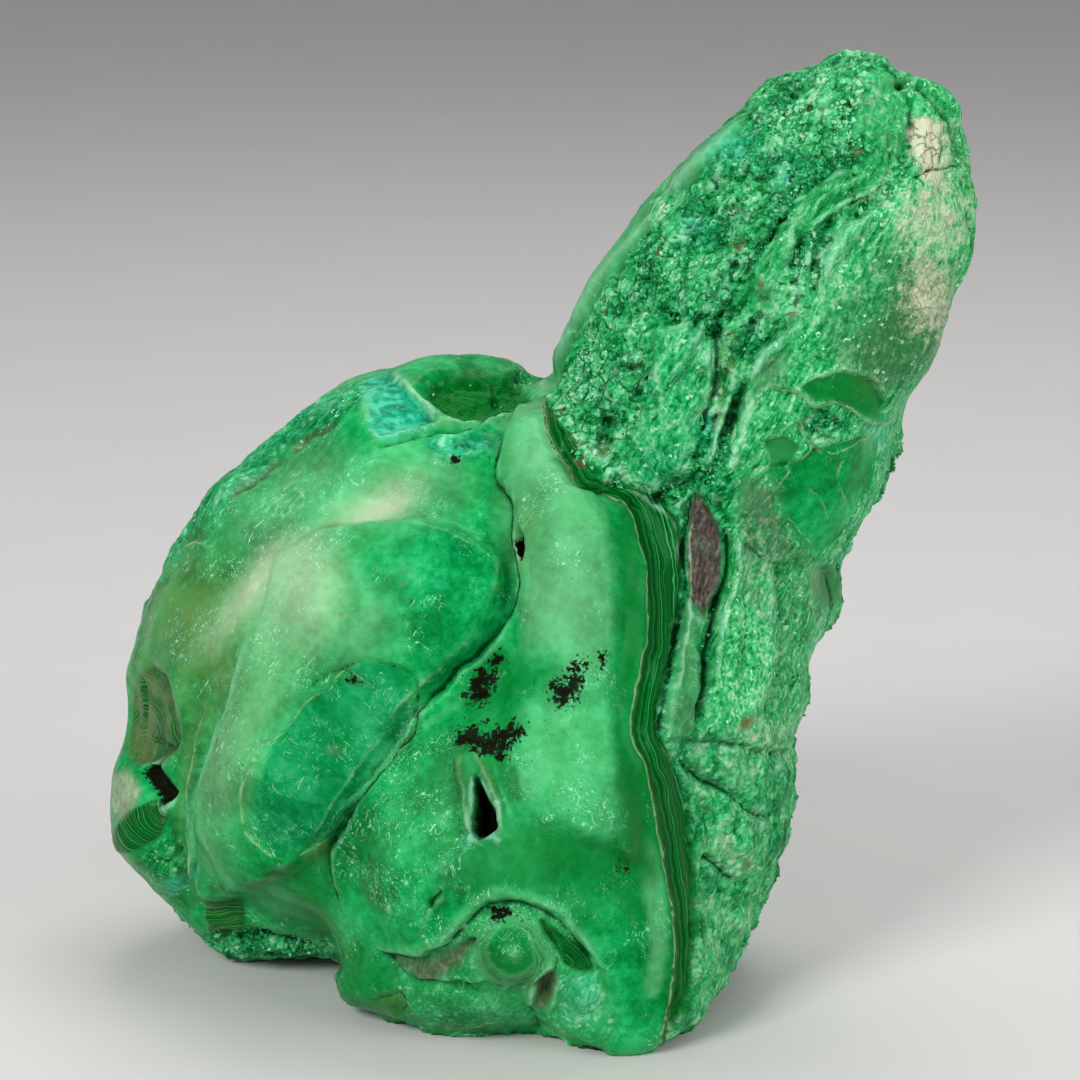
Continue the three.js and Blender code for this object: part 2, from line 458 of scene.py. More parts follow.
# swirls beside the boundary: smoother folds that follow it round
def drawHornSwirls():
    fold = [(34, 37), (38, 44), (44, 49), (50, 52), (53.5, 57), (54, 63), (51, 60), (47, 56), (41, 53),
            (36, 47), (32, 41)]
    skin.area(fold, height=0.5, edge=1, rough=0.08, mottled=0.7, pale=0.3, layersFrom=hornBoundary[::-1],
              layered=0.4)
    skin.area([(47, 68), (52, 70), (55, 66), (54.5, 58), (51, 60), (48, 62)], height=0.4, edge=1, rough=0.08,
              mottled=0.6, pale=0.3, layersFrom=hornBoundary[::-1], layered=0.4)
    for offset, depth in ((1.8, 0.5), (3.2, -0.5), (4.6, 0.5), (6.2, -0.4)):
        flow = [(x - 0.8 * offset, h + 0.55 * offset) for x, h in hornBoundary[2:10]]
        skin.line(flow, depth=depth, width=0.45, pale=0.5 * (depth < 0), deep=0.3 * (depth > 0), fade=0.15)
    skin.line([(52, 62), (52.5, 57), (50.5, 52.5), (46, 50)], depth=0.6, width=0.5, crack=0.06, olive=0.6)
    skin.line([(46.5, 53), (47.3, 51.5), (46.5, 50)], depth=0.5, width=0.4, crack=0.1)
    skin.line([(47, 64), (46.5, 57), (47.5, 54)], depth=0.5, width=0.5, crack=0.05)
    skin.line([(50, 57), (46, 54), (41, 51), (37, 47)], depth=0.5, width=0.6)
    skin.line([(44, 54), (39, 50), (35, 44), (33, 38)], depth=0.5, width=0.6)
    skin.line([(37, 52), (41, 53.5), (44.5, 56)], depth=1.2, width=0.8)
    skin.oval((33.5, 36), (3.6, 2.2), turn=35, height=-1.0, rough=0.5, deep=0.35)


# ledges that run up the drusy face beside its rim
def drawHornLedges():
    for offset, step in ((6, 1.3), (11, -1.0), (16, 1.4), (22, -1.1), (27, 1.2)):
        ledge = [
            (x + 0.8 * offset, h - 0.5 * offset + 2 * math.sin(h / 5 + offset))
            for x, h in hornRimInner[1:]
        ]
        skin.line(ledge, depth=0.5, width=0.7, step=step, reach=2.5, fade=0.15)


# hollows darkened as painted shade, clumps, and a few rusty crystals
def drawHornClumps():
    # hollows between the clumps, darkened as painted shade
    for at, half, turn in (((20, 34), (3.2, 1.4), 20), ((14, 26), (2.2, 1.2), -10),
                           ((9, 18), (3.4, 1.3), 10), ((27, 44), (1.8, 3), 40), ((38, 62), (3, 1.2), -25),
                           ((24, 24), (1.6, 3), 15), ((6, 24), (1.5, 2.4), 30),
                           ((12, 40), (1.2, 2.2), 30), ((33, 55), (2.2, 1.2), -30)):
        skin.oval(at, half, turn=turn, height=-1.3, edge=1.2, deep=0.35)
    skin.oval((14, 14), (9, 7), turn=-20, edge=4, pale=0.45)
    for at, half in (((24, 41), (3.5, 2.5)), ((34, 60), (4, 3)), ((20, 48), (3, 4)), ((15, 31), (4, 3)),
                     ((30, 50), (3, 4)), ((45, 67), (6, 3.5)), ((9, 13), (4, 2.5))):
        skin.oval(at, half, height=0.7, edge=1.5, pale=0.5, rough=0.75)
    for at, half in (((29.8, 44.3), (0.9, 1.3)), ((9.2, 13.4), (0.7, 1.2)), ((6.2, 12), (1.3, 1)),
                     ((47.5, 58.5), (0.9, 0.7)), ((18.5, 43), (0.7, 0.8)), ((33, 38.5), (0.7, 0.9))):
        skin.oval(at, half, edge=0.9, rust=1)
    for at, half in (((29, 59), (4, 3)), ((37, 56), (3, 3)), ((24, 46), (3, 2.5)), ((25, 17), (2, 3))):
        skin.oval(at, half, edge=2, teal=0.6)


# two flatter flakes low on the face, and the slits beside them
def drawHornFlakes():
    upper = [(17, 31.5), (22, 32), (26, 29), (26.4, 24), (24, 19), (20.5, 17.5), (17.5, 22)]
    lower = [(21, 19.5), (23, 14), (20.5, 9.5), (16, 8), (12.5, 11), (14, 15.5), (16.5, 20)]
    for flake, pale in ((upper, 0.4), (lower, 0.25)):
        skin.area(flake, height=0.7, slope=2, edge=1.5, rough=0.12, mottled=0.8, pale=pale, teal=0.25)
    skin.line([(27.5, 36), (28, 28), (27.5, 20), (25, 12)], width=1.2, olive=0.7)
    skin.line([(18.5, 27), (16, 21), (14.5, 16)], depth=-0.4, width=0.8, pale=0.9)
    skin.line([(26.5, 32), (26.5, 26), (25.5, 21), (23.5, 17)], depth=1.5, width=0.7, crack=0.04)
    skin.line([(29.5, 26), (28, 20), (26.5, 15), (25, 10)], depth=-0.6, width=0.5, pale=0.8, rough=0.3)
    skin.line([(32, 22), (30.5, 16), (28.5, 10)], depth=-0.5, width=0.5, pale=0.8, rough=0.3)
    skin.line([(28.5, 23), (28.5, 17), (27, 12)], depth=1.0, width=0.6, crack=0.02)
    skin.line([(2.5, 13), (6, 9.5), (10, 8.5)], depth=0.8, width=1.4, deep=0.6)


# beige skin near the tip, with its cracks
def drawHornTip():
    skin.area([(56.2, 63.5), (59.5, 62.4), (62, 57.8), (62.8, 53.2), (59.5, 51.9), (56.8, 55.5),
               (55.8, 59.8)], cream=1, edge=0.6)
    skin.oval((60, 54), (2.2, 1.7), edge=0.8, cream=0.9)
    skin.oval((59, 48.5), (6.5, 5), edge=3, cream=0.5, pale=0.7)
    skin.oval((62, 56), (2, 7), turn=-12, edge=1.5, cream=0.2, olive=0.3)
    skin.oval((58, 37), (3.8, 6), edge=2.5, cream=0.6, olive=0.45)
    skin.oval((54.5, 31.5), (4.5, 7.5), turn=20, height=-0.5, edge=3, olive=1, deep=0.45)
    skin.oval((49.5, 29), (4, 5), turn=-20, edge=3, olive=0.9, deep=0.3)
    skin.oval((52, 41), (3, 4), edge=2.5, olive=0.6)
    skin.oval((46, 34), (5, 7), turn=30, edge=3, olive=0.5)
    skin.oval((43, 39), (4, 6), turn=35, edge=3, pale=0.75)
    skin.line([(55.5, 68.5), (59, 65.5), (61.5, 61), (62.3, 56.5)], depth=1.1, width=0.6, crack=0.05,
              deep=0.5)
    skin.line([(56, 70.5), (60, 66.8), (63, 62), (64.3, 56), (65, 48)], depth=-1.1, width=1.0, pale=0.3)
    skin.nudge((53.6, 71), (2.6, 3), -1.8)
    skin.line([(55.5, 54), (58.5, 55.5), (63, 56)], depth=0.7, width=0.45, crack=0.1)
    for start in (57.2, 58.4, 59.6):
        skin.line([(start, 62 - start / 60), (start + 0.5, 59), (start + 0.1, 56)], depth=0.35,
                  width=0.35, crack=0.02)
    skin.line([(64, 50), (64.2, 40), (60, 28), (54, 14)], depth=0.4, width=0.6, step=0.5)
    skin.oval((54.5, 69), (2, 2.2), turn=30, height=-2.4, olive=0.5)


# broken facets under the horn, smooth and bright between ragged pale ledges
def drawFacets():
    bright = [(33, 15), (34.1, 11), (38.4, 11.7), (41.4, 14), (50.7, 16), (49.5, 8.7), (45.2, 1),
              (41.7, -2.4), (38.1, 0.1), (36.1, 4.7), (34.8, 8)]
    skin.area(bright, curved=False, height=-0.5, rough=0, mottled=0.1, pale=0, olive=0, cream=0, deep=0,
              edge=0.4)
    skin.area([(42.5, 12.5), (45.5, 12), (44.5, 8.5)], curved=False, height=-0.5, slope=0.5, deep=0.3,
              edge=0.3)
    skin.line([(38.4, 11.7), (41.4, 14), (44, 13), (50.7, 16)], depth=-0.2, width=0.3, seam=0.06)
    skin.line([(45.5, 12), (44.8, 8.6), (47, 4)], depth=0.3, width=0.3, seam=0.04)
    skin.area([(34, 15), (36.5, 15.5), (39, 14), (37, 10.5), (34.5, 11)], curved=False, height=-0.7,
              slope=0.5, rough=0, mottled=0, deep=0.6, edge=0.3)
    skin.area([(39, 23), (41, 24.5), (45, 25), (49.5, 24), (51.5, 20.5), (50.5, 18), (47, 19.5),
               (44, 21.5), (41, 21)], curved=False, height=-0.7, slope=0.6, rough=0, mottled=0, pale=0,
              deep=0.65, edge=0.4)
    skin.line([(38.5, 23.5), (42, 25.2), (46, 25.8), (50, 24.6), (52, 21)], depth=-0.3, width=0.5,
              seam=0.05, pale=0.6)
    skin.area([(38.5, 12), (42, 13), (42.5, 10), (40, 8.5)], rough=0, mottled=0.1, deep=0.35, edge=0.3)
    skin.area([(30, 7.5), (35, 8.5), (37, 1.5), (41, -3), (40, -12), (31, -10)], edge=1.5, rough=0.05,
              mottled=0.5, mauve=0.5, pale=0.3)
    skin.area([(30, 20), (33, 27), (38, 29), (37, 25), (33, 21)], edge=1.5, rough=0.05, mottled=0.5,
              mauve=0.4)
    ledge = [(34, 23), (39, 22), (41, 20), (44.5, 21), (48, 18.5), (51, 17.5), (52.5, 18.5)]
    skin.line(ledge, step=1.4, reach=2.5, seam=0.12, fade=0.05)
    skin.line([(38.5, 18), (40, 15.5), (42, 13)], depth=0.7, width=0.6, seam=0.12, step=1.0, crack=0.02)
    skin.line([(38, 11), (36, 8.5), (33, 5.5)], depth=-0.3, width=0.4, seam=0.05)
    skin.line([(40, 8), (42, 6), (43.5, 3)], depth=0.4, width=0.4, seam=0.04)
    skin.line([(37, 4), (39, 1), (41.5, -1)], depth=-0.4, width=0.4, seam=0.03)
    skin.oval((42, 17.5), (3, 2.4), height=-1.1, rough=0.8, pale=0.3)
    skin.oval((50.5, 16), (1.5, 2.5), edge=1.2, pale=0.7, teal=0.5)


# the brown lens between two beaded rims, and the smooth band below it
def drawLens():
    lens = [(23.3, 6), (25, 5), (26.8, 1.5), (27.2, -3), (26.4, -8), (24.8, -11.4), (23.3, -10.8), (22.5, -7),
            (22.2, -1.5), (22.3, 3.5)]
    skin.area(lens, height=-1.1, slope=1.6, rough=0.12, mottled=0.2, mauve=1, pale=0, edge=0.4)
    skin.oval((24.8, -2.5), (2.4, 6), height=0.9)
    below = [(24.5, -11.3), (23.5, -15), (24, -20), (23, -27), (19.5, -29), (19, -24), (21, -16), (22, -9)]
    skin.area(below, height=0.5, slope=1.8, rough=0, mottled=0.4, mauve=0.3, pale=0.25)
    skin.line([(27.5, 3), (28.3, -3), (27, -9), (24.8, -17), (25, -22.5), (22.5, -28)], depth=1.7, width=0.8,
              crack=0.22, fade=0.1, deep=0.6)
    skin.line([(29.3, 2), (29.8, -3), (28.6, -9), (26.5, -17), (26.6, -23)], depth=-0.5, width=0.4, pale=0.9)
    skin.line([(22.5, 6), (21.7, 0), (22, -8), (20.5, -16), (19, -24), (18, -29)], depth=0.7, width=0.5,
              crack=0.08, fade=0.06)
    skin.line([(23.2, 4), (22.4, 0), (22.8, -8), (21.4, -16), (20, -24)], depth=-0.35, width=0.35, seam=0.04)


# the strip to the right, then the coarse foot with its slanting cracks; its raised knobs are painted paler as
# a highlight
def drawStripAndFoot():
    strip = [(28.5, 3), (36, 2), (42, -4), (44, -10), (40, -28), (27, -29), (26, -18), (28, -8)]
    skin.area(strip, rough=0.12, mottled=1, pale=0.42)
    skin.area([(32, -5), (40, -4), (39, -18), (36, -27), (33, -24), (34, -14)], edge=2, mauve=0.22, olive=0.3)
    skin.line([(33.5, 0), (34, -10), (33, -20), (31, -27)], depth=-0.9, width=0.9, pale=0.8)
    skin.line([(35.5, -3), (36, -12), (35, -22), (33, -28)], depth=0.8, width=0.7, crack=0.02)
    skin.line([(30.5, -6), (31, -14), (30, -22)], depth=0.6, width=0.6, crack=0.02)
    skin.line([(30, 0), (35, -3.5), (38, -3.2), (41.5, -1)], depth=0.5, width=0.5, step=0.8, reach=3,
              crack=0.03)
    skin.line([(38, -6), (37.5, -14), (36.5, -24)], depth=0.6, width=0.6, step=-0.7)
    skin.line([(42, -3), (42.5, -8), (40.5, -14)], depth=0.6, width=0.6, step=0.8, crack=0.04)
    skin.oval((41.8, -6.5), (1.6, 3), turn=10, height=-0.4, rough=0, mottled=0, deep=0.45)
    skin.oval((30.5, -27.5), (1.6, 1.3), edge=1, rust=0.8)
    skin.oval((34, -29), (4, 2), edge=1.5, cream=0.3, pale=0.6)
    foot = [(19, -31), (27, -28), (39, -29), (42, -45), (34, -66), (20, -78), (18, -74), (23, -62), (23, -45)]
    skin.area(foot, curved=False, edge=1.2, rough=0.45, mottled=0.7, pale=0.3, olive=0.25)
    skin.line([(18, -30), (24, -30), (31, -31), (38, -32)], step=1.6, reach=4, depth=0.5, width=0.8)
    skin.line([(20.5, -32), (24, -36), (28, -38), (33, -41.5), (36, -41)], depth=1.3, width=0.8, crack=0.12)
    skin.line([(24.5, -47), (27, -49.5), (29.5, -52)], depth=1.0, width=0.6, crack=0.1)
    skin.line([(23.5, -38), (25.5, -43), (24.5, -50), (25, -58)], depth=0.9, width=0.8)
    # knobs and dips; the raised ones painted paler as a highlight
    for at, half, height in (((29, -57), (3, 2.4), 1.1), ((31, -46), (4, 3), 0.8), ((27, -41), (3, 2.5), 0.7),
                             ((26, -65), (4, 4), 0.8), ((34, -34), (4, 2.2), 0.9), ((33, -58), (2, 4), -1.0),
                             ((28, -70), (3, 3), -0.7), ((36, -50), (2, 4), -0.8)):
        skin.oval(at, half, height=height, edge=1.5, pale=0.15 + 0.3 * (height > 0))
    skin.oval((30.8, -48.8), (0.7, 0.8), edge=0.9, rust=1)
    skin.oval((27, -31.5), (2.5, 1.2), edge=1.2, pale=0.8)


# the broken edge: a pale rim line, fine layers, the deep groove against the matrix, and painted shade over
# the lower part of the band
def drawBrokenEdge():
    # painted shade over the lower part of the layered band
    skin.area([(13.5, -31), (16, -37), (18, -48), (19.5, -60), (18.5, -72), (22, -70), (23.5, -58),
               (22.5, -44), (19, -33)], edge=1, deep=1, black=0.12)
    skin.line(crustEdge, depth=-0.3, width=0.5, step=-0.9, reach=2, seam=0.12, fade=0.02)
    skin.line([(x + 1.5, h) for x, h in crustEdge[6:]], depth=0.25, width=0.3, fade=0.05)
    skin.line(matrixEdge, depth=1.1, width=0.6, crack=0.02, fade=0.03)
    skin.line(crustEdge[:6], depth=1.0, width=0.6, crack=0.06, fade=0.1)
    skin.line([(5.5, 8), (8.5, 8), (12.5, 7.5), (15, 5)], depth=1.4, width=0.8, crack=0.04, deep=0.7)


# the groove that parts the crust from the left lobe, and the belly that stands over it
def drawMainCrack():
    skin.line(mainCrack, depth=0.9, width=0.45, step=1.6, reach=4, crack=0.1, fade=0.03)
    skin.line(bellyEdge, depth=0.8, width=0.45, step=1.7, reach=3, crack=0.1, fade=0.04)
    skin.line([(x - 1.5, h + 0.6) for x, h in bellyEdge[:6]], depth=-0.5, width=0.45, pale=0.3)
    skin.line([(x - 2.8, h + 1.2) for x, h in [*mainCrack[11:], *bellyEdge[2:5]]], depth=-0.35, width=0.4,
              pale=0.3)
    skin.line([(-5.5, 16.5), (-7.5, 13), (-8, 10)], depth=0.35, width=0.35, crack=0.04)


# a low swell down the column, painted pale as the sheen of the light on it, with a little olive
def drawColumnSheen():
    swellAndSheen = [(-3.5, 20), (0, 16), (4, 9), (8.5, 5), (10.5, -3), (11, -14), (10.5, -26), (12, -36), (13.5, -47),
            (8, -44.6), (1.4, -42.2), (-4, -39), (-5, -30), (-2.5, -16), (-2, -4), (-4, 6)]
    skin.area(swellAndSheen, edge=0.9, pale=0.3, olive=0.15, height=1.6, slope=4)
    # painted sheen on the middle of the column
    skin.oval((3.5, -6), (5, 12), turn=-4, edge=3, pale=0.8)


# painted shade in the saddle round the spots, in the hollow under the column's swell, and on the strip where
# the column rounds away from the light
def drawDarkerParts():
    # painted shade in the saddle round the spots
    skin.area([(-8.4, -15), (-1.7, -16.5), (3.6, -19), (0.3, -24.5), (-3.7, -29.8), (-4.4, -36), (-7, -36),
               (-11, -28.4), (-13, -23)], edge=2, pale=0, deep=0.5, olive=0.15)
    # painted shade in the hollow under the column's swell
    skin.area([(-4.3, -44.8), (1.4, -43), (10, -45.6), (14, -48.5), (14, -57), (10.8, -53.5), (4.3, -51),
               (-5, -50.5)], edge=1.8, deep=0.9, pale=0, height=-0.7, slope=3)
    skin.oval((-5.5, -49.5), (6.5, 5.5), turn=-20, edge=2.5, deep=0.4, pale=0)
    skin.area([(-33, -47), (-31.5, -50.5), (-29.5, -56), (-25.5, -61), (-21, -66), (-27, -69), (-34, -62),
               (-40, -55), (-40, -50)], edge=2.5, deep=0.5, pale=0)
    # painted shade left of the swell
    skin.oval((-6, -39), (2.6, 6), turn=-8, edge=2, deep=0.35)
    # a low rise, darkened as painted shade below the swell
    skin.oval((2, -52), (11, 8), turn=10, height=0.8, edge=4, deep=0.5, pale=0)
    skin.oval((4, -34), (6, 9), edge=3, olive=0.25)
    skin.line([(-8.5, -44.5), (-12.5, -47.5), (-15.5, -53), (-18, -60)], step=1.4, reach=4, fade=0.2)
    skin.line([(-9, -44), (-12.5, -46.5), (-14.8, -50)], depth=-0.3, width=0.8, pale=0.7, teal=0.3)
    skin.oval((-21, -46), (8, 12), edge=3, worn=0.8)
    skin.oval((-6, -57), (12, 6), edge=3, worn=1)
    skin.oval((7, -27), (4, 12), edge=3, worn=0.7)
    skin.oval((3, -40), (7, 4), edge=2, worn=0.8)
    # painted sheen on the column's top
    skin.oval((0.5, 11), (4, 9), turn=12, edge=4, pale=0.95)
    skin.oval((-1.5, 3), (1.6, 4), turn=10, edge=2, pale=0.3, olive=0.3)
    # painted shade where the column rounds away from the light
    rounding = [(11.5, 4), (13.5, 0), (15, -6), (15, -18), (13, -27), (13.5, -32), (16, -42), (16.5, -50),
                (12, -46), (11.5, -34), (11, -24), (12, -12), (11.5, -2)]
    skin.area(rounding, edge=2.2, pale=0, deep=1, teal=0.3)
    skin.area([(14.3, -46), (17, -46), (18.3, -56), (18, -66), (16, -68), (16, -58)], edge=0.5, pale=0.45)
    skin.area([(-14, -30), (-4, -36), (3, -45), (-2, -52), (-14, -50), (-24, -44)], edge=4, pale=0.12)


# manganese spots, the hole near the crack, and the void with its curled shells; the insides of the hole and
# the void are painted black as shade
def drawSpotsAndVoid():
    for at, half, turn in (((-8.8, -21.8), (2.1, 2.7), 10), ((-9, -22.4), (1.3, 1.6), 10),
                           ((4.9, -21), (1.9, 2.5), 15), ((4.2, -23.6), (1.2, 1.6), 10),
                           ((-8, -30), (3.6, 1.5), -5), ((-5.8, -32.2), (1.5, 1.9), 20),
                           ((-6, -18), (1.6, 1.4), 0), ((11, -45), (0.7, 1.1), 0),
                           ((12, -49), (0.6, 0.7), 0), ((-10.5, -29.3), (1.8, 1.2), 0),
                           ((9, -18), (1.1, 1.2), 0), ((-3.5, -29), (1.4, 0.9), -25)):
        skin.oval(at, half, turn=turn, height=-0.5, edge=2.2, black=0.8)
    skin.oval((-2, -1), (1.8, 3.4), turn=-15, height=-2.2, edge=0.8, olive=0.7, deep=0.3)
    # the hole's inside painted black as shade
    skin.oval((-2, -1.6), (1.2, 2.1), turn=-20, height=-2.8, edge=0.4, black=1)
    skin.oval((-0.2, 2.2), (2.4, 4.4), turn=-12, edge=2.4, olive=0.55, pale=0.2)
    skin.line([(-3, 5.5), (-3.2, 2.5), (-2.4, 0)], depth=0.7, width=0.7, olive=0.5)
    # the void, its inside painted black as shade
    void = [(-9.9, -35.5), (-8.6, -37.8), (-7.2, -40.5), (-6.9, -43.2), (-9.9, -44.1), (-9.8, -39)]
    skin.area(void, height=-6, slope=0.8, black=1, edge=0.3)
    skin.line([(-11, -44.5), (-8.5, -43.9), (-5.5, -45.2)], depth=-0.6, width=0.5, teal=0.7, pale=0.7)
    skin.line([(-11.2, -31.4), (-12.3, -34), (-11.4, -38), (-10.6, -44)], depth=-0.4, width=0.35, olive=0.7)
    skin.line([(-13, -33), (-12.4, -38), (-11.6, -44)], depth=0.4, width=0.35, crack=0.02)
    skin.line([(-11, -31.6), (-9.6, -33), (-7.6, -36.8), (-6.4, -39.8), (-6, -43.4)], depth=-0.5,
              width=0.4, olive=0.8)
    skin.line([(-11.5, -44.5), (-8, -45.5), (-4.5, -44)], depth=-0.6, width=1.2)
    skin.oval((-12, -54), (1.3, 3.6), turn=28, height=-0.8)
    skin.line([(-14.3, -52), (-15.6, -53.4), (-16.3, -55)], depth=1.3, width=0.5, crack=0.18, olive=0.4)
    skin.line([(-13, -51), (-14, -55), (-16.5, -59)], depth=0.5, width=0.6)
    skin.oval((3, -38), (9, 12), height=0.8)
    skin.oval((-20, -48), (12, 15), height=2.0)
    skin.oval((-9, -43), (3.5, 7), height=-1.2)


# the finger and the folds beside it, with painted highlight on the finger's top, in the dish above it and in
# the valley to its left, and painted shade in the fold over its top
def drawFinger():
    finger = [(-39.5, -8), (-37, -2), (-32, 1), (-26, 2.2), (-19, 2.6), (-13, 1), (-6, -4), (-9, -14),
              (-18, -23), (-26, -34), (-34, -46), (-44, -52), (-50.5, -52), (-50.5, -44), (-48.5, -34),
              (-45, -24), (-42, -15)]
    skin.area(finger, height=3.0, slope=3.6, edge=1)
    skin.oval((-33, -9), (10, 11), turn=15, height=1.6)
    skin.oval((-42, -34), (8, 16), turn=20, height=0.8)
    # painted highlight on the finger's top
    skin.oval((-34.5, -9), (5.5, 7.5), turn=20, edge=4, pale=1, cream=0.6)
    skin.oval((-40.5, -27), (3.5, 16), turn=20, edge=4, olive=0.5, pale=0.5, cream=0.15)
    skin.oval((-26, -14), (4, 6), turn=20, edge=4, pale=0.45, olive=0.3)
    skin.oval((-30, -2), (6, 2), edge=2, olive=0.35)
    # the fold over the finger's top, darkened as painted shade
    skin.line([(-38, -3), (-34, 0.5), (-31, 1.8), (-25.5, 2.6), (-19.5, 3)], depth=0.8, width=0.8,
              deep=0.5, fade=0.2)
    skin.oval((-19, 0), (6, 3), turn=-10, edge=2, deep=0.3, pale=0)
    # more painted highlight on the finger's upper left
    skin.oval((-36, -6), (2.5, 5.5), turn=28, edge=2, cream=0.45, pale=1)
    # the dish above the finger: a real hollow, painted pale and cream as the reflection of the light in it
    skin.oval((-23.5, 6), (11, 6.5), turn=-12, height=-2.6, edge=3, pale=0.5)
    skin.oval((-24.5, 5.6), (6.5, 2.6), turn=-24, edge=2.2, cream=0.62, pale=0.85)
    skin.line([(-32, 2), (-31.5, 6), (-28.5, 9.5), (-24, 11), (-18, 10.5), (-14, 7), (-13, 3)],
              depth=-0.9, width=2.2)
    skin.line([(-31, 3), (-31.5, 7), (-29, 10)], depth=0.35, width=0.6, deep=0.2)
    skin.oval((-15, -5), (7, 8), edge=4, teal=0.2)
    outerFold = [(-52, 8), (-45, 9), (-40, 4), (-41, -6), (-44, -14), (-47, -26), (-51, -36), (-55, -44),
                 (-58, -36), (-57, -22), (-57, -8), (-56, 2)]
    skin.area(outerFold, height=1.2, slope=5, edge=1)
    skin.oval((-13, 6), (5, 7), turn=-20, edge=3, worn=0.6)
    skin.oval((-27, -33), (8, 14), turn=33, edge=3, worn=1)
    for at, half, turn in (((-37, -10), (7, 12), 20), ((-50, -6), (6, 16), 30), ((-40, 5), (8, 5), -30),
                           ((-41, -30), (4, 12), 22), ((-22, 7), (7, 4), -10)):
        skin.oval(at, half, turn=turn, edge=3, worn=0.8)
    for at in ((-19.1, -7), (-7.5, -7.3), (-48.4, -16.3), (-33, 8), (-28.5, -12)):
        skin.oval(at, (0.8, 0.6), edge=0.8, rust=0.7, cream=0.2)
    skin.line([(-24, 6), (-20.5, 4.8), (-18, 4), (-15.5, 2.5)], depth=0.5, width=0.5, olive=0.6)
    skin.oval((-13, -2), (6, 10), turn=-10, height=-0.8, edge=4, deep=0.08)
    groove = [(-36, -3), (-40, -9), (-42, -15), (-45, -27), (-49, -37.5), (-50.5, -46.5), (-51, -53)]
    skin.line(groove, depth=1.0, width=0.9, step=0.8, reach=4, fade=0.08, teal=0.5)
    skin.line([(x - 1.3, h) for x, h in groove[1:]], depth=-0.45, width=0.5, pale=0.7)
    skin.line([(x - 2.4, h) for x, h in groove[2:6]], depth=0.3, width=0.5, teal=0.4)
    brown = [(-48.5, -24), (-50.5, -30), (-52, -38), (-52.5, -46), (-50.5, -53)]
    skin.line(brown, depth=-0.5, width=0.5, step=0.8, reach=3, seam=0.05, olive=0.6)
    skin.line([(x - 1.6, h) for x, h in brown], depth=0.4, width=0.5, olive=0.5)
    skin.oval((-44, -20), (5, 17), turn=20, edge=5, olive=0.55, cream=0.2)
    skin.oval((-53, -14), (7, 13), turn=25, edge=5, olive=0.75)
    # painted highlight in the valley left of the finger
    skin.oval((-43, -7.5), (2.2, 7.5), turn=38, edge=2.2, pale=0.8, cream=0.55)
    skin.oval((-46, -8), (4, 12), turn=28, height=-1.2)


# an oval window, sunk, of a deeper and flecked green
def drawWindow():
    skin.oval((-30, -31.5), (7.2, 16.2), turn=33, edge=0.3, deep=0.42, teal=0.36, pale=0, cream=0,
              olive=0)
    skin.oval((-30, -31.5), (7.2, 16.2), turn=33, height=-0.9)
    outline = [(-24, -21.5), (-28.5, -19), (-31, -22), (-33.5, -23.5), (-36.5, -28.5), (-39.5, -31.5),
               (-41.5, -36), (-42, -41.5), (-40, -45), (-37.5, -46.5), (-34.5, -46), (-31, -44)]
    skin.line(outline, step=-0.9, reach=3, seam=0.03, fade=0.04)
    rightOutline = [(-34, -22.3), (-30.6, -19.6), (-25, -17.6), (-20, -18.8), (-18.2, -22.3), (-19, -26.4),
                    (-22.6, -31.5), (-26.5, -36.5), (-31, -41.5)]
    skin.line(rightOutline, depth=0.4, width=0.4, step=0.7, reach=2, crack=0.01, fade=0.1)
    skin.line([(-17, -24), (-20.6, -29.6), (-24.6, -35), (-29, -41)], depth=-0.6, width=0.6, pale=0.5)
    skin.line([(-24, -21.5), (-19.5, -22), (-18, -25)], step=-0.5, reach=2, seam=0.02)
    skin.oval((-31, -31.2), (1.2, 1), edge=0.8, olive=0.9, rust=0.4)
    skin.oval((-27.3, -20.3), (1.5, 1.2), edge=1.2, olive=0.5, black=0.6)
    skin.area([(-35, -47), (-31.5, -44.5), (-30.5, -49.5), (-33.5, -50)], olive=0.9, edge=1)


# the rough rim along the upper left, with its brown streaks
def drawUpperRim():
    rim = [(-24, 27), (-36, 26), (-52, 13), (-63, -4), (-59, -8), (-52, -1), (-46, 8), (-38.5, 14),
           (-30, 18), (-25, 22)]
    skin.area(rim, rough=0.3, mottled=0.9, teal=0.3, edge=1.2)
    skin.line([(-30, 17.5), (-34, 15.3), (-37.5, 12.6)], depth=0.6, width=0.4, olive=1, mottled=1, mauve=0.55)
    skin.line([(-38.5, 12), (-42.5, 8.8), (-45.5, 5)], depth=0.6, width=0.4, olive=1, mottled=1, mauve=0.5)
    skin.line([(-33, 19), (-38, 15), (-44, 9), (-49, 2)], depth=-0.5, width=1.2, rough=0.4, teal=0.3)
    skin.line([(-47, -1.5), (-50, -1), (-52.5, -2.2)], depth=-0.5, width=0.5, step=0.8, seam=0.04)
    skin.oval((-38, 6), (4, 8), turn=50, edge=3, pale=0.6, olive=0.3, mottled=0.5)
    skin.oval((-55, -18), (4, 12), turn=15, edge=3, mottled=0.5)


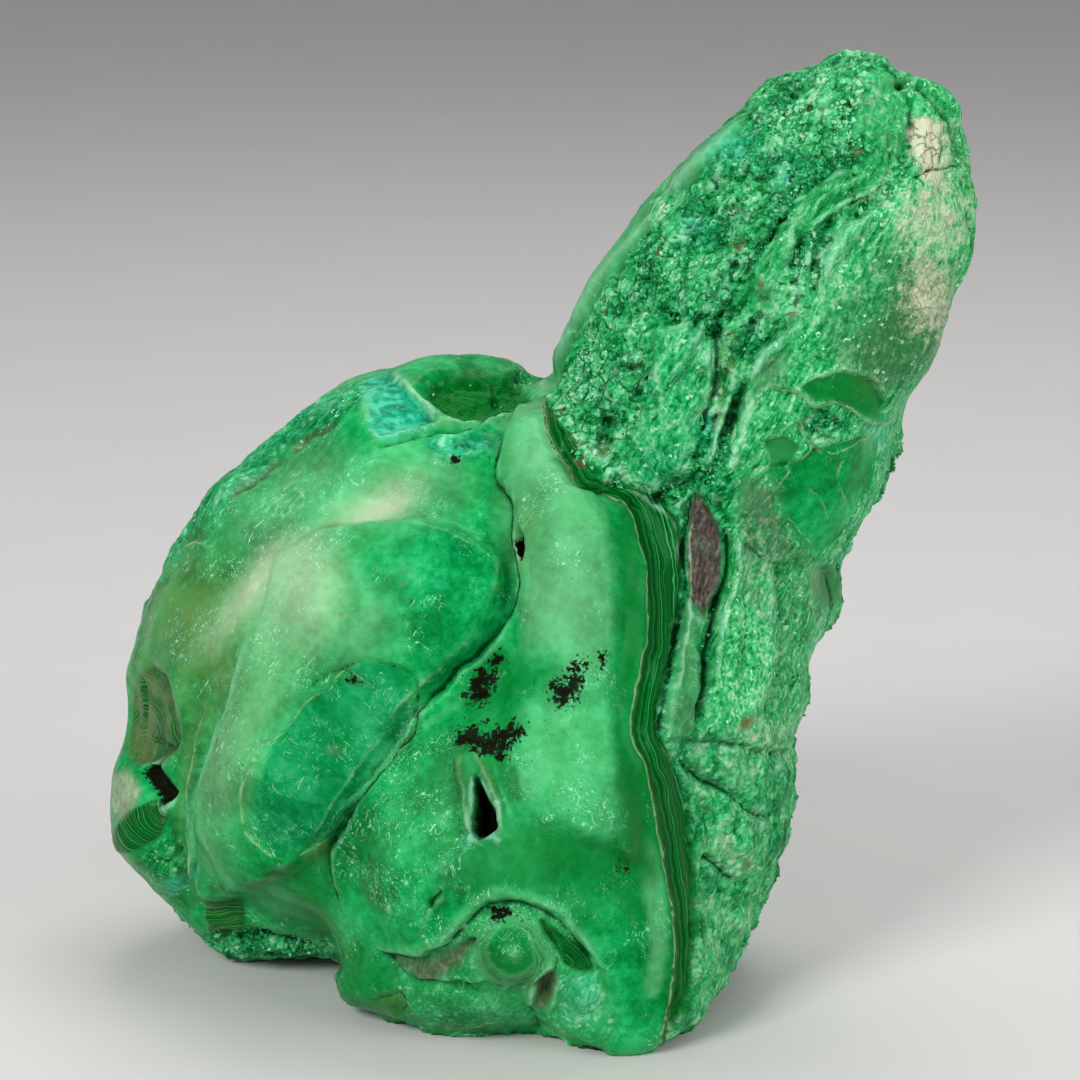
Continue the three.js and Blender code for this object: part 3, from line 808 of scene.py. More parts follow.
# the turquoise patch and the layered bowl at the top
def drawPatchAndBowl():
    skin.area([(-25.8, 23.5), (-22, 24.8), (-18.5, 21.5), (-15.5, 18), (-20, 16.3), (-25, 15.8),
               (-25.8, 19.5)], height=-0.8, slope=2, edge=0.8, teal=1, rough=0.05, pale=0, mottled=0.5,
              worn=1)
    skin.line([(-22.5, 25), (-18.5, 22), (-15, 18.3)], depth=-0.6, width=0.5, pale=0.9, cream=0.3)
    skin.line([(-26, 15), (-24, 14.3), (-19.5, 15.5), (-10.5, 17), (-8, 18.7), (-4.5, 20.5), (-1.5, 22)],
              depth=1.0, width=0.6, step=-0.9, reach=3, crack=0.08)
    skin.line([(-26, 16.5), (-24, 15.8), (-19.5, 17), (-11, 18.3)], depth=-0.5, width=0.5, seam=0.06,
              pale=0.8)
    skin.line([(-25.5, 17), (-26, 21), (-24, 23)], depth=-0.5, width=0.6, pale=0.8)
    bowl = [(-17.2, 22.5), (-15, 25), (-10, 27), (-4, 26), (-1, 24), (-3, 21), (-8, 19), (-13, 19)]
    skin.area(bowl, height=-3.2, slope=3, ringsFrom=(-7, 30), deep=1, layered=0.45, rough=0.6)
    skin.line([(-17.5, 21.5), (-13.5, 18.5), (-8, 18.3), (-3, 20.3)], depth=-0.6, width=0.8, pale=0.5,
              rough=0.4)
    skin.area([(-17, 15), (-12, 16), (-7, 16), (-8, 13), (-12, 12), (-16, 12.5)], edge=1.5, rough=0.5,
              teal=0.6)
    skin.oval((-12.5, 11.8), (1.4, 1), height=-0.6, edge=1.2, black=0.7)


# a fan of layers in a hollow on the far left, its slit painted black as shade, and the small lobes under it
def drawFan():
    fan = [(-61, -21), (-57, -19.5), (-54.5, -25), (-54.5, -31), (-58, -33.5), (-62, -32)]
    skin.area(fan, height=-2.6, slope=3, ringsFrom=(-61.8, -33), olive=1, deep=0.7, mauve=0.22)
    # the slit, its inside painted black as shade
    skin.line([(-58.8, -33.5), (-57, -36.5), (-54.8, -39)], depth=3.0, width=1.4, crack=0.9, black=1)
    skin.oval((-62, -38), (2.4, 3.6), cream=0.4, mauve=0.4, rough=0.3)
    skin.area([(-62, -42), (-58, -39), (-55, -40), (-57, -44), (-61, -46)], height=0.6,
              ringsFrom=(-54, -36), deep=0.8)
    skin.line([(-58.5, -46.5), (-55, -47.5), (-53.5, -45.5)], depth=0.8, width=0.6, crack=0.06)
    skin.oval((-55.5, -49.5), (4, 6), height=1.4, mottled=0.5)
    skin.oval((-54.5, -51), (1.1, 1.4), edge=0.8, teal=1, pale=0.5)
    skin.line([(-60, -30), (-56, -31.5), (-54, -29)], depth=0.8, width=0.6, crack=0.05)
    skin.oval((-55.3, -6.5), (1.2, 1.5), height=-0.8, black=0.3)
    skin.area([(-48.5, -51.5), (-45, -52), (-44, -57), (-47.5, -60), (-50, -56)], height=0.5,
              ringsFrom=(-44, -61), olive=0.3)
    skin.area([(-51, -60), (-44, -58), (-36, -60), (-31, -60), (-31, -70), (-52, -70)], height=-1.2,
              slope=3, rough=0.8)
    skin.line([(-46, -59.5), (-40, -60.5), (-33, -61.5)], depth=1.2, width=0.9, crack=0.15)


# a broken lip of crust low on the belly hangs over a nest of rings
def drawBrokenLip():
    skin.area([*brokenLip, (12, -73), (8, -80), (-14, -80), (-22, -70)], curved=False, height=-0.9,
              slope=1.2, rough=0, mottled=0.45, pale=0.1, deep=0)
    skin.line([(x, h + 1.3) for x, h in brokenLip], depth=-0.2, width=0.7, pale=0.35, deep=0)
    skin.line([(x, h - 0.5) for x, h in brokenLip], depth=0.7, width=0.7, crack=0.08, fade=0.05, rough=0.3)


# dark hollows left and right under the lip, and the black one at its top
def drawLipHollows():
    skin.area([(-23.4, -62.4), (-17.3, -63.6), (-10.8, -60.4), (-9.4, -61.5), (-12.2, -64.2), (-15.8, -66.7),
               (-18.7, -66.7)], height=-0.9, slope=1.2, edge=1, mauve=0.6, olive=0.6, rough=0.25, black=0.15)
    skin.area([(0, -57.4), (3.2, -59.2), (6.5, -62), (7.9, -64.9), (6.1, -66), (3.6, -64.2), (2.5, -61.3)],
              height=-0.8, slope=1, layersFrom=brokenLip[5:], deep=0.6)
    skin.oval((-6, -56.2), (2.4, 1.3), height=-0.6, edge=1.4, black=0.9)


# the nest: rings round a dark eye, a small leaf-shaped hollow, and a pale knob
def drawNest():
    skin.oval((-4, -62.4), (6.2, 6), turn=15, edge=1.4, rings=True, height=1.4, layered=0.5, pale=0.45,
              mottled=0.3, mauve=0, olive=0.2)
    skin.oval((-4.3, -61.4), (3.4, 3.3), edge=0.4, height=-0.5, deep=0.5, layered=0.1, pale=0, mottled=0)
    skin.oval((-4.2, -61.5), (1.3, 1.2), edge=0.6, height=0.5, deep=0.1, pale=0.3)
    skin.line([(1, -58.5), (2.6, -61.5), (2, -65), (-1, -67.6), (-5, -68.4)], depth=0.6, width=0.5,
              crack=0.02)
    skin.oval((0.7, -67.9), (1.5, 2.9), turn=20, height=-1.6, edge=0.5, olive=1, deep=0.3, mauve=0.5)
    skin.line([(-1.4, -70.5), (-1.2, -67.5), (0.6, -64.6), (2.6, -64.6)], depth=-0.6, width=0.5,
              seam=0.06, pale=0.6)
    skin.line([(0.8, -71.6), (2.4, -69.2), (3, -66)], depth=-0.5, width=0.4, pale=0.6)
    skin.oval((6.1, -69), (3.4, 3.6), height=1.5, rings=True, edge=0.8, layered=0.3, pale=0.55, teal=0.4,
              mottled=0.6)
    skin.oval((-7, -70.5), (2.2, 2.2), height=0.7, edge=1, pale=0.3)
    skin.line([(-13, -66.5), (-9, -69), (-6, -73)], depth=0.5, width=0.5, crack=0.04)
    skin.line([(-2, -70.5), (-1, -72), (0, -74)], depth=0.7, width=0.5, crack=0.06)
    skin.line([(-24.5, -68.5), (-21.5, -68.8), (-20.6, -71.8)], depth=0.6, width=0.5, crack=0.06, olive=0.6)
    skin.area([(-24.5, -68.5), (-21.5, -68.8), (-20.6, -71.8), (-24, -72)], olive=0.6, deep=0.5, edge=0.8)
    # painted light that lifts the shade where the low left apron faces down
    skin.oval((-36, -55.5), (6, 3), turn=20, edge=3, pale=0.25, deep=0, olive=0, mottled=0, rough=0)
    skin.oval((-31.5, -51.5), (3.5, 5), turn=20, edge=3, deep=0.65, pale=0, olive=0)


# the right flank, the back and the left flank carry cracks and layered breaks of their own
def drawSides():
    skin.look(90, 5, boxMiddle, 0.3, 0.5)
    skin.area([(-8, 60), (16, 62), (22, 40), (18, 18), (0, 14), (-12, 34)], edge=2, rough=0.1, mottled=0.9)
    skin.line([(-14, 56), (-2, 30), (8, 8), (4, -12), (12, -30), (8, -50)], depth=1.1, width=0.7,
              step=1.2, crack=0.1)
    skin.line([(8, 8), (18, 0), (26, -14)], depth=0.9, width=0.6, crack=0.08)
    skin.line([(4, 58), (-2, 42), (6, 28), (18, 16)], depth=0.8, width=0.6, seam=0.06, step=1)
    skin.area([(0, 56), (12, 60), (15, 44), (6, 34), (-4, 42)], edge=2.5, cream=0.7, olive=0.3)
    skin.area([(2, -20), (9, -17), (18, -24), (13, -31), (14, -38), (5, -36), (-1, -29)], curved=False,
              height=-1.0, slope=1.5, edge=1, rough=0.1, mottled=0.4, deep=0.3,
              layersFrom=[(-2, -48), (22, -40)], layered=0.4)
    skin.look(180, 10, boxMiddle, 0.15, 0.35)
    skin.line([(-32, 54), (-28, 32), (-16, 14), (-12, -12), (-2, -30), (0, -58)], depth=1.4, width=0.8,
              step=1.6, crack=0.15)
    skin.line([(-12, -12), (-26, -20), (-38, -38)], depth=1.0, width=0.7, crack=0.1)
    skin.line([(6, 12), (18, 4), (28, -12), (48, -20)], depth=0.9, width=0.6, step=-1.2, crack=0.08)
    skin.area([(14, -14), (22, -9), (33, -14), (31, -22), (35, -27), (24, -35), (17, -29), (11, -27)],
              curved=False, height=-1.3, slope=2.5, edge=1, rough=0.1, mottled=0.3, deep=0.25,
              ringsFrom=(38, -2), layered=0.4)
    skin.area([(-34, -24), (-27, -19), (-20, -21), (-12, -24), (-15, -33), (-12, -42), (-22, -50),
               (-32, -40)], height=1.2, slope=4, edge=1.5, rough=0.15, mottled=0.3, ringsFrom=(-22, -36),
              layered=0.35)
    skin.oval((-22, -36), (3, 4), turn=15, height=0.6, edge=1.5, deep=0.4)
    skin.area([(-56, 58), (-40, 66), (-32, 44), (-38, 20), (-50, 30)], edge=2, rough=0.1, mottled=0.9,
              cream=0.15)
    skin.look(270, 5, boxMiddle, 0.4, 0.6)
    skin.line([(-30, 20), (-18, 4), (-14, -18), (-4, -34), (-2, -56)], depth=1.1, width=0.7, step=1.4,
              crack=0.1)
    skin.area([(-40, 4), (-33, 7), (-25, 3), (-22, -6), (-29, -9), (-31, -15), (-41, -8)], curved=False,
              height=-1.2, slope=2, edge=1, rough=0.15, mottled=0.3, deep=0.3, ringsFrom=(-20, 8),
              layered=0.4)


reliefSettings = {
    "lean": (0.5, 0, 0.87),  # the way that the lumps run, up the horn
    "drawnOut": 0.55,  # how much longer they are that way
    "lumps": 1.05,
    "clumps": 0.35,
    "holes": 1.2,
    "blocks": 0.4,  # of the streaky skin
    "waves": 0.30,  # of the smooth crust
    "ripples": 0.07,
    "layer": 1.15,  # from one layer of a break to the next
    "step": 0.06,
}


# crystals stand up where the skin is rough, and the layers of a break make fine steps
def roughen(settings):
    points, rough, mottled = skin.points, skin.channels["rough"], skin.channels["mottled"]
    axis = np.array(settings["lean"])
    drawnOut = points - settings["drawnOut"] * (points @ axis)[:, None] * axis
    coarse = 0.8 * (0.45 - np.abs(noise(drawnOut, 3.4, 9))) + 0.4 * noise(points, 1.7, 10)
    coarse += 0.25 * noise(points, 0.8, 11) + 0.5 * noise(drawnOut, 6, 20)
    clumps = 0.5 - cells(points, 2.3, 3)
    holes = rise(noise(drawnOut, 2.4, 17) + 0.5 * noise(points, 1.2, 18), 0.5, 0.95)
    coarse += 0.6 * noise(drawnOut, 9, 27)
    clumps = clumps * (0.5 + noise(points, 7, 12))
    skin.height += rough * (
        settings["lumps"] * coarse + settings["clumps"] * clumps - settings["holes"] * holes
    )
    blocks = np.abs(noise(drawnOut, 4.2, 22))
    skin.height += mottled * (0.08 * noise(points, 1.4, 19) + settings["blocks"] * (0.3 - blocks))
    waves = settings["waves"] * noise(points, 9, 13) + settings["ripples"] * noise(points, 2.6, 14)
    skin.height += (1 - rough) * waves
    steps = np.sin(skin.layer * 2 * math.pi / settings["layer"] + 0.8 * noise(points, 4, 15))
    skin.height += settings["step"] * steps * skin.channels["layered"]


ageAllRound()
drawFront()
drawSides()
bubblesBehind(bubbleSettings)
roughen(reliefSettings)
print("marks drawn")


# each vertex's height against that of its neighbourhood, which is below zero in a hollow
def hollowness(mesh, height, rounds):
    ends = np.empty(len(mesh.edges) * 2, np.int32)
    mesh.edges.foreach_get("vertices", ends)
    first, second = ends.reshape(-1, 2).T
    count = len(height)
    share = np.bincount(first, minlength=count) + np.bincount(second, minlength=count)
    around = height.copy()
    for _ in range(rounds):
        total = np.bincount(first, around[second], count) + np.bincount(second, around[first], count)
        around = 0.5 * around + 0.5 * total / share
    return height - around


def setAttribute(mesh, name, values):
    attribute = mesh.attributes.new(name, "FLOAT", "POINT")
    attribute.data.foreach_set("value", values.astype(np.float32))


# moves the skin to its height and thins it out where it is plain
def finishSkin(settings):
    mesh, points = skin.mesh, skin.points + skin.normals * (skin.height + settings["swell"])[:, None]
    points[:, 2] = np.where(points[:, 2] < settings["foot"], 0, points[:, 2])
    resting = skin.points[:, 2] < settings["foot"]
    points[resting, 2] = 0
    mesh.vertices.foreach_set("co", (points * mm).astype(np.float32).ravel())
    for name, values in skin.channels.items():
        setAttribute(mesh, name, values)
    setAttribute(mesh, "crack", skin.crack)
    setAttribute(mesh, "seam", skin.seam)
    setAttribute(mesh, "layer", skin.layer)
    setAttribute(mesh, "hollow", hollowness(mesh, np.maximum(skin.height, settings["deepest"]),
                                            settings["neighbourhood"]))
    whole = bpy.data.objects.new("whole", mesh)
    bpy.context.scene.collection.objects.link(whole)
    front = rise(-skin.normals[:, 1], -0.4, 0.1)
    group = whole.vertex_groups.new(name="plain")
    for level in range(5):
        chosen = np.flatnonzero(np.round(front * 4) == level)
        group.add(chosen.tolist(), 1.02 - level / 4, "REPLACE")
    thin = whole.modifiers.new("thin", "DECIMATE")
    thin.ratio = min(1, settings["triangles"] / (2 * len(mesh.polygons)))
    thin.vertex_group = "plain"
    thin.vertex_group_factor = settings["favour"]
    seen = whole.evaluated_get(bpy.context.evaluated_depsgraph_get())
    result = bpy.data.meshes.new_from_object(seen)
    result.name = "malachite_skin"
    bpy.data.objects.remove(whole)
    return result


skinMesh = finishSkin(lumpSettings)
skinMesh.shade_smooth()
print("skin thinned to", len(skinMesh.polygons), "faces")


# a socket whose value can be used in ordinary maths
class Wire:
    def __init__(self, paint, socket):
        self.paint, self.socket = paint, socket

    def maths(self, operation, first, second=0.0):
        if self.socket.type == "VALUE":
            return self.paint.node("ShaderNodeMath", {"operation": operation}, {0: first, 1: second})
        if operation == "MULTIPLY" and not isinstance(second, Wire):
            return self.paint.node("ShaderNodeVectorMath", {"operation": "SCALE"},
                                   {0: first, "Scale": second})
        return self.paint.node("ShaderNodeVectorMath", {"operation": operation}, {0: first, 1: second})

    def __add__(self, other):
        return self.maths("ADD", self, other)

    def __radd__(self, other):
        return self.maths("ADD", other, self)

    def __sub__(self, other):
        return self.maths("SUBTRACT", self, other)

    def __rsub__(self, other):
        return self.maths("SUBTRACT", other, self)

    def __mul__(self, other):
        return self.maths("MULTIPLY", self, other)

    def __rmul__(self, other):
        return self.maths("MULTIPLY", self, other)

    # eased step from 0 at low to 1 at high; low above high turns it round
    def rise(self, low, high):
        return self.paint.node(
            "ShaderNodeMapRange", {"interpolation_type": "SMOOTHSTEP"}, {0: self, 1: low, 2: high}
        )


# a material under construction
class Paint:
    def __init__(self, name):
        self.material = bpy.data.materials.new(name)
        self.material.use_nodes = True
        self.tree = self.material.node_tree
        self.shader = self.tree.nodes["Principled BSDF"]
        self.place = self.node("ShaderNodeTexCoord", output="Object") * (1 / mm)

    # adds a node: its settings first, then the values or links of its sockets
    def node(self, kind, settings={}, sockets={}, output=0):
        made = self.tree.nodes.new(kind)
        for name, value in settings.items():
            if name == "stops":
                self.setStops(made.color_ramp, value)
            else:
                setattr(made, name, value)
        for key, value in sockets.items():
            if isinstance(value, Wire):
                self.tree.links.new(value.socket, made.inputs[key])
            else:
                made.inputs[key].default_value = value
        return Wire(self, made.outputs[output])

    def setStops(self, ramp, stops):
        while len(ramp.elements) < len(stops):
            ramp.elements.new(1)
        for element, (position, colour) in zip(ramp.elements, stops):
            element.position, element.color = position, (*colour, 1)

    def ramp(self, value, stops):
        return self.node("ShaderNodeValToRGB", {"stops": stops}, {0: value})

    def attribute(self, name):
        return self.node("ShaderNodeAttribute", {"attribute_name": name}, output="Fac")

    # drawn out to a length and a width along a direction, which is turned about the line of sight
    def laid(self, where, length, width, turn):
        sockets = {0: where, "Rotation": (0, -math.radians(turn), 0), "Scale": (length, width, width)}
        return self.node("ShaderNodeMapping", {"vector_type": "TEXTURE"}, sockets)

    def dashes(self, where, length, width, turn):
        sockets = {"Vector": self.laid(where, length, width, turn), "Scale": 1.0, "Detail": 1.0}
        return self.node("ShaderNodeTexNoise", {}, sockets)

    # cloudy noise from 0 to 1 with lumps of a given size
    def clouds(self, size, detail=2, output=0):
        sockets = {"Vector": self.place, "Scale": 1 / size, "Detail": detail}
        return self.node("ShaderNodeTexNoise", {}, sockets, output)

    def mix(self, share, first, second):
        sockets = {0: share}
        for key, colour in ((6, first), (7, second)):
            sockets[key] = colour if isinstance(colour, Wire) else (*colour, 1)
        return self.node("ShaderNodeMix", {"data_type": "RGBA"}, sockets, 2)

    # joins a wire, or sets a plain value, on the shader
    def finish(self, **sockets):
        for name, value in sockets.items():
            socket = self.shader.inputs[name.replace("_", " ")]
            if isinstance(value, Wire):
                self.tree.links.new(value.socket, socket)
            else:
                socket.default_value = value
        return self.material


skinLook = {
    "smooth": [
        (0.40, (0.0003, 0.12, 0.020)), (0.47, (0.001, 0.21, 0.040)), (0.53, (0.004, 0.30, 0.070)),
        (0.61, (0.025, 0.43, 0.13)),
    ],
    "mottled": [
        (0.37, (0.001, 0.07, 0.014)), (0.44, (0.005, 0.21, 0.046)), (0.50, (0.020, 0.34, 0.090)),
        (0.56, (0.090, 0.49, 0.19)), (0.64, (0.36, 0.68, 0.38)),
    ],
    "crystals": [
        (0.14, (0.001, 0.03, 0.006)), (0.32, (0.003, 0.15, 0.034)), (0.47, (0.016, 0.33, 0.09)),
        (0.60, (0.07, 0.48, 0.18)), (0.74, (0.24, 0.64, 0.36)), (0.88, (0.52, 0.70, 0.46)),
    ],
    "layers": [
        (0.38, (0.0003, 0.045, 0.004)), (0.50, (0.0008, 0.105, 0.011)), (0.60, (0.004, 0.19, 0.028)),
        (0.70, (0.03, 0.32, 0.08)),
    ],
    # pale tone of the crust, also its painted sheen and highlight
    "paleAndSheen": (0.17, 0.53, 0.24),
    "teal": [(0.40, (0.001, 0.15, 0.10)), (0.50, (0.003, 0.33, 0.20)), (0.58, (0.05, 0.52, 0.34))],
    "olive": (0.13, 0.20, 0.055),
    "deep": (0.001, 0.14, 0.012),
    "cream": (0.56, 0.56, 0.40),
    "lens": [(0.36, (0.022, 0.014, 0.013)), (0.50, (0.070, 0.050, 0.045)), (0.64, (0.15, 0.12, 0.11))],
    "grey": (0.045, 0.090, 0.045),
    "rust": (0.15, 0.050, 0.020),
    "black": (0.006, 0.0015, 0.001),
    "shadow": (0.0005, 0.030, 0.006),
    "fleck": (0.40, 0.76, 0.55),
    "seam": (0.34, 0.50, 0.24),
    "shine": (0.08, 1.0, 0.40, 1),  # tint of the reflections
}


# a number from 0 to 1, the same all over one small crystal
def crystalTone(paint, length, width, turn):
    where = paint.laid(paint.place, length, width, turn)
    colour = paint.node("ShaderNodeTexVoronoi", {}, {"Vector": where, "Scale": 1.0}, "Color")
    return paint.node("ShaderNodeSeparateColor", {}, {0: colour})


# the noises and masks that the finishes of the skin share
class SkinPaint(Paint):
    def __init__(self, name):
        super().__init__(name)
        self.masks = {key: self.attribute(key) for key in (*channels, "crack", "seam", "layer", "hollow")}
        self.broad, self.middling = self.clouds(14), self.clouds(4.5, 4)
        self.fine, self.finest = self.clouds(1.3, 3), self.clouds(0.42, 2)
        self.ragged = (self.fine - 0.5) * 0.9 + (self.finest - 0.5) * 0.5
        self.bent = self.place + (self.clouds(3, output=1) - (0.5, 0.5, 0.5)) * 1.8
        self.swayed = self.place + (self.clouds(6, output=1) - (0.5, 0.5, 0.5)) * 3

    # fine cracks between blocks of a given size
    def veins(self, size, width):
        sockets = {"Vector": self.bent, "Scale": 1 / size}
        gap = self.node("ShaderNodeTexVoronoi", {"feature": "DISTANCE_TO_EDGE"}, sockets, "Distance")
        return gap.rise(width / size, 0.2 * width / size)

    # a mark with a ragged edge
    def edged(self, name, spread):
        return (self.masks[name] + self.ragged * 0.5).rise(0.5 - spread, 0.5 + spread)


# the polished crust, with scratches, pale flecks, fine dark pits, and the painted sheen of the light on it
def crustColour(paint, look):
    masks, fine, middling = paint.masks, paint.fine, paint.middling
    scratches = paint.dashes(paint.swayed, 10, 0.22, 55).rise(0.68, 0.71)
    scratches = scratches + paint.dashes(paint.swayed, 9, 0.2, -38).rise(0.68, 0.71)
    scratches = scratches + paint.dashes(paint.swayed, 4, 0.24, 100).rise(0.69, 0.73)
    flecks = (paint.clouds(0.8, 2) + (fine - 0.5) * 0.9).rise(0.69, 0.80)
    marked = (paint.clouds(6, 3) + masks["worn"] * 0.17).rise(0.54, 0.68)
    shade = paint.broad * 0.42 + middling * 0.26 + fine * 0.22 + paint.finest * 0.1
    colour = paint.ramp(shade, look["smooth"])
    colour = paint.mix((masks["olive"] * (0.45 + middling)).rise(0.1, 1.0) * 0.85, colour, look["olive"])
    # paler tones of the mineral, and the painted sheen and highlights of the light on the polished crust
    paleAndSheen = masks["pale"] * (0.76 + (middling - 0.5) * 0.5 + (fine - 0.5) * 0.4)
    colour = paint.mix(paleAndSheen, colour, look["paleAndSheen"])
    colour = paint.mix((scratches + flecks * 0.8) * marked * 0.7, colour, look["fleck"])
    pits = paint.node("ShaderNodeTexVoronoi", {}, {"Vector": paint.place, "Scale": 1 / 1.6}, "Distance")
    return paint.mix(pits.rise(0.13, 0.05) * middling.rise(0.48, 0.58) * 0.7, colour, look["shadow"])


# the streaky skin, cracked into small blocks
def streakyColour(paint, look):
    masks, fine, finest, middling = paint.masks, paint.fine, paint.finest, paint.middling
    streaks = paint.dashes(paint.bent, 2.4, 0.55, 62) * 0.34 + paint.dashes(paint.bent, 1.3, 0.4, -30) * 0.1
    streaks = streaks + fine * 0.16 + finest * 0.18 + middling * 0.22
    colour = paint.ramp(streaks + (masks["pale"] - 0.3) * 0.12, look["mottled"])
    colour = paint.mix((masks["olive"] * 0.8 + middling * 0.4).rise(0.3, 0.9) * 0.7, colour, look["grey"])
    glints = crystalTone(paint, 0.7, 0.5, 20).rise(0.94, 0.97) * finest.rise(0.4, 0.6)
    colour = paint.mix(glints, colour, look["fleck"])
    colour = paint.mix(paint.veins(5, 0.18) * fine.rise(0.48, 0.62) * 0.4, colour, look["shadow"])
    return paint.mix(paint.veins(9, 0.14) * middling.rise(0.48, 0.6) * 0.35, colour, look["seam"])


# the crystalline faces
def crystallineColour(paint, look):
    masks, fine, middling = paint.masks, paint.fine, paint.middling
    tones = crystalTone(paint, 1.8, 0.7, 62) * 0.24 + crystalTone(paint, 0.7, 0.4, 20) * 0.20
    tones = tones + fine * 0.56 + (middling - 0.5) * 1.0 + (masks["pale"] - 0.2) * 0.22
    colour = paint.ramp(tones, look["crystals"])
    colour = paint.mix(masks["olive"] * middling.rise(0.42, 0.6) * 0.8, colour, look["olive"])
    cracks = paint.veins(2.9, 0.33) * fine.rise(0.4, 0.55) * masks["rough"] * 0.85
    return paint.mix(cracks, colour, look["shadow"])


# the layers of a broken edge
def layeredColour(paint, look):
    sockets = {"W": paint.masks["layer"] + (paint.middling - 0.5) * 0.2, "Scale": 3.0, "Detail": 3.0}
    lines = paint.node("ShaderNodeTexNoise", {"noise_dimensions": "1D"}, sockets)
    shade = lines + (paint.finest - 0.5) * 0.08 - paint.masks["deep"] * 0.04
    browned = paint.masks["olive"] * paint.middling.rise(0.4, 0.6) * 0.6
    return paint.mix(browned, paint.ramp(shade, look["layers"]), look["olive"])


# what lies on the green: films, stains, cream skin with painted highlight, cracks, oxide, and the shade of
# the hollows
def stained(paint, colour, look):
    masks, fine, finest, ragged = paint.masks, paint.fine, paint.finest, paint.ragged
    lens = paint.dashes(paint.bent, 2.5, 0.5, 80) * 0.5 + fine * 0.3 + finest * 0.2
    colour = paint.mix(paint.edged("mauve", 0.5), colour, paint.ramp(lens, look["lens"]))
    # cream: beige skin, and painted highlight and reflection on the left lobe
    torn = ragged * (masks["mottled"] * 1.1 + masks["rough"] * 0.6 + 0.12)
    colour = paint.mix((masks["cream"] + torn).rise(0.05, 0.95), colour, look["cream"])
    crazed = masks["cream"].rise(0.25, 0.7) * masks["mottled"] * fine.rise(0.40, 0.55)
    colour = paint.mix(paint.veins(2.4, 0.16) * crazed * 0.7, colour, look["shadow"])
    hollow = masks["hollow"] + ragged * 0.1
    colour = paint.mix(hollow.rise(-0.08, -0.7) * 0.85, colour, look["shadow"])
    colour = paint.mix(hollow.rise(0.12, 0.6) * 0.35, colour, look["fleck"])
    colour = paint.mix((masks["rust"] + ragged * 0.7).rise(0.3, 0.9) * 0.85, colour, look["rust"])
    colour = paint.mix((masks["seam"] + ragged * 0.14).rise(0.16, 0.0) * 0.55, colour, look["seam"])
    colour = paint.mix((masks["crack"] + ragged * 0.25).rise(0.16, -0.04) * 0.95, colour, look["shadow"])
    return paint.mix((masks["black"] + ragged * 1.5).rise(0.42, 0.62), colour, look["black"])


def skinNormal(paint):
    masks, fine, finest = paint.masks, paint.fine, paint.finest
    grain = paint.node("ShaderNodeTexVoronoi", {}, {"Vector": paint.place, "Scale": 1 / 0.5}, "Distance")
    coarse = masks["rough"] * (fine * 0.6 + finest * 0.35 - grain * 0.35)
    streaky = masks["mottled"] * (fine + finest) * 0.3
    relief = coarse + streaky + finest * 0.03 - masks["black"] * finest * 0.3
    return paint.node("ShaderNodeBump", {}, {"Strength": 0.8, "Distance": 0.45 * mm, "Height": relief})


def skinMaterial(look):
    paint = SkinPaint("malachiteSkin")
    masks, fine, ragged = paint.masks, paint.fine, paint.ragged
    streaky = (masks["mottled"] + ragged * 0.5).rise(0.25, 0.75)
    colour = paint.mix(streaky, crustColour(paint, look), streakyColour(paint, look))
    crystalline = (masks["rough"] + (fine - 0.5) * 0.7).rise(0.2, 0.5)
    colour = paint.mix(crystalline, colour, crystallineColour(paint, look))
    blue = paint.dashes(paint.swayed, 5, 1.1, -40) * 0.45 + paint.middling * 0.3 + fine * 0.25
    colour = paint.mix(paint.edged("teal", 0.5) * 0.75, colour, paint.ramp(blue, look["teal"]))
    colour = paint.mix((masks["deep"] + ragged * 0.15).rise(0.0, 1.0), colour, look["deep"])
    colour = paint.mix(paint.edged("layered", 0.2), colour, layeredColour(paint, look))
    return paint.finish(
        Base_Color=stained(paint, colour, look),
        Roughness=0.30 + masks["rough"] * 0.25 + masks["mottled"] * 0.15 + masks["black"] * 0.4,
        Specular_IOR_Level=0.12,
        Specular_Tint=look["shine"],
        Coat_Weight=(1 - masks["rough"] - masks["black"]).rise(0.4, 1.0) * 0.04,
        Coat_Roughness=0.16,
        Normal=skinNormal(paint),
    )


crystalSettings = {
    "count": 9000,
    "half": (0.14, 0.50),  # smallest and largest half-width
    "stretch": (1.0, 1.9),  # length against width
    "proud": 0.15,  # how far the middle stands out of the skin, against the half-width
    "rusty": 0.0015,  # share of them
    "seed": 11,
}
crystalLook = {
    "tones": [
        (0.0, (0.002, 0.11, 0.024)), (0.35, (0.010, 0.27, 0.075)), (0.62, (0.05, 0.45, 0.16)),
        (0.84, (0.18, 0.60, 0.32)), (0.98, (0.45, 0.72, 0.46)), (1.0, (0.20, 0.06, 0.02)),
    ],
    "shine": (0.3, 1.0, 0.5, 1),
}


def unit(vectors):
    return vectors / np.linalg.norm(vectors, axis=1)[:, None]


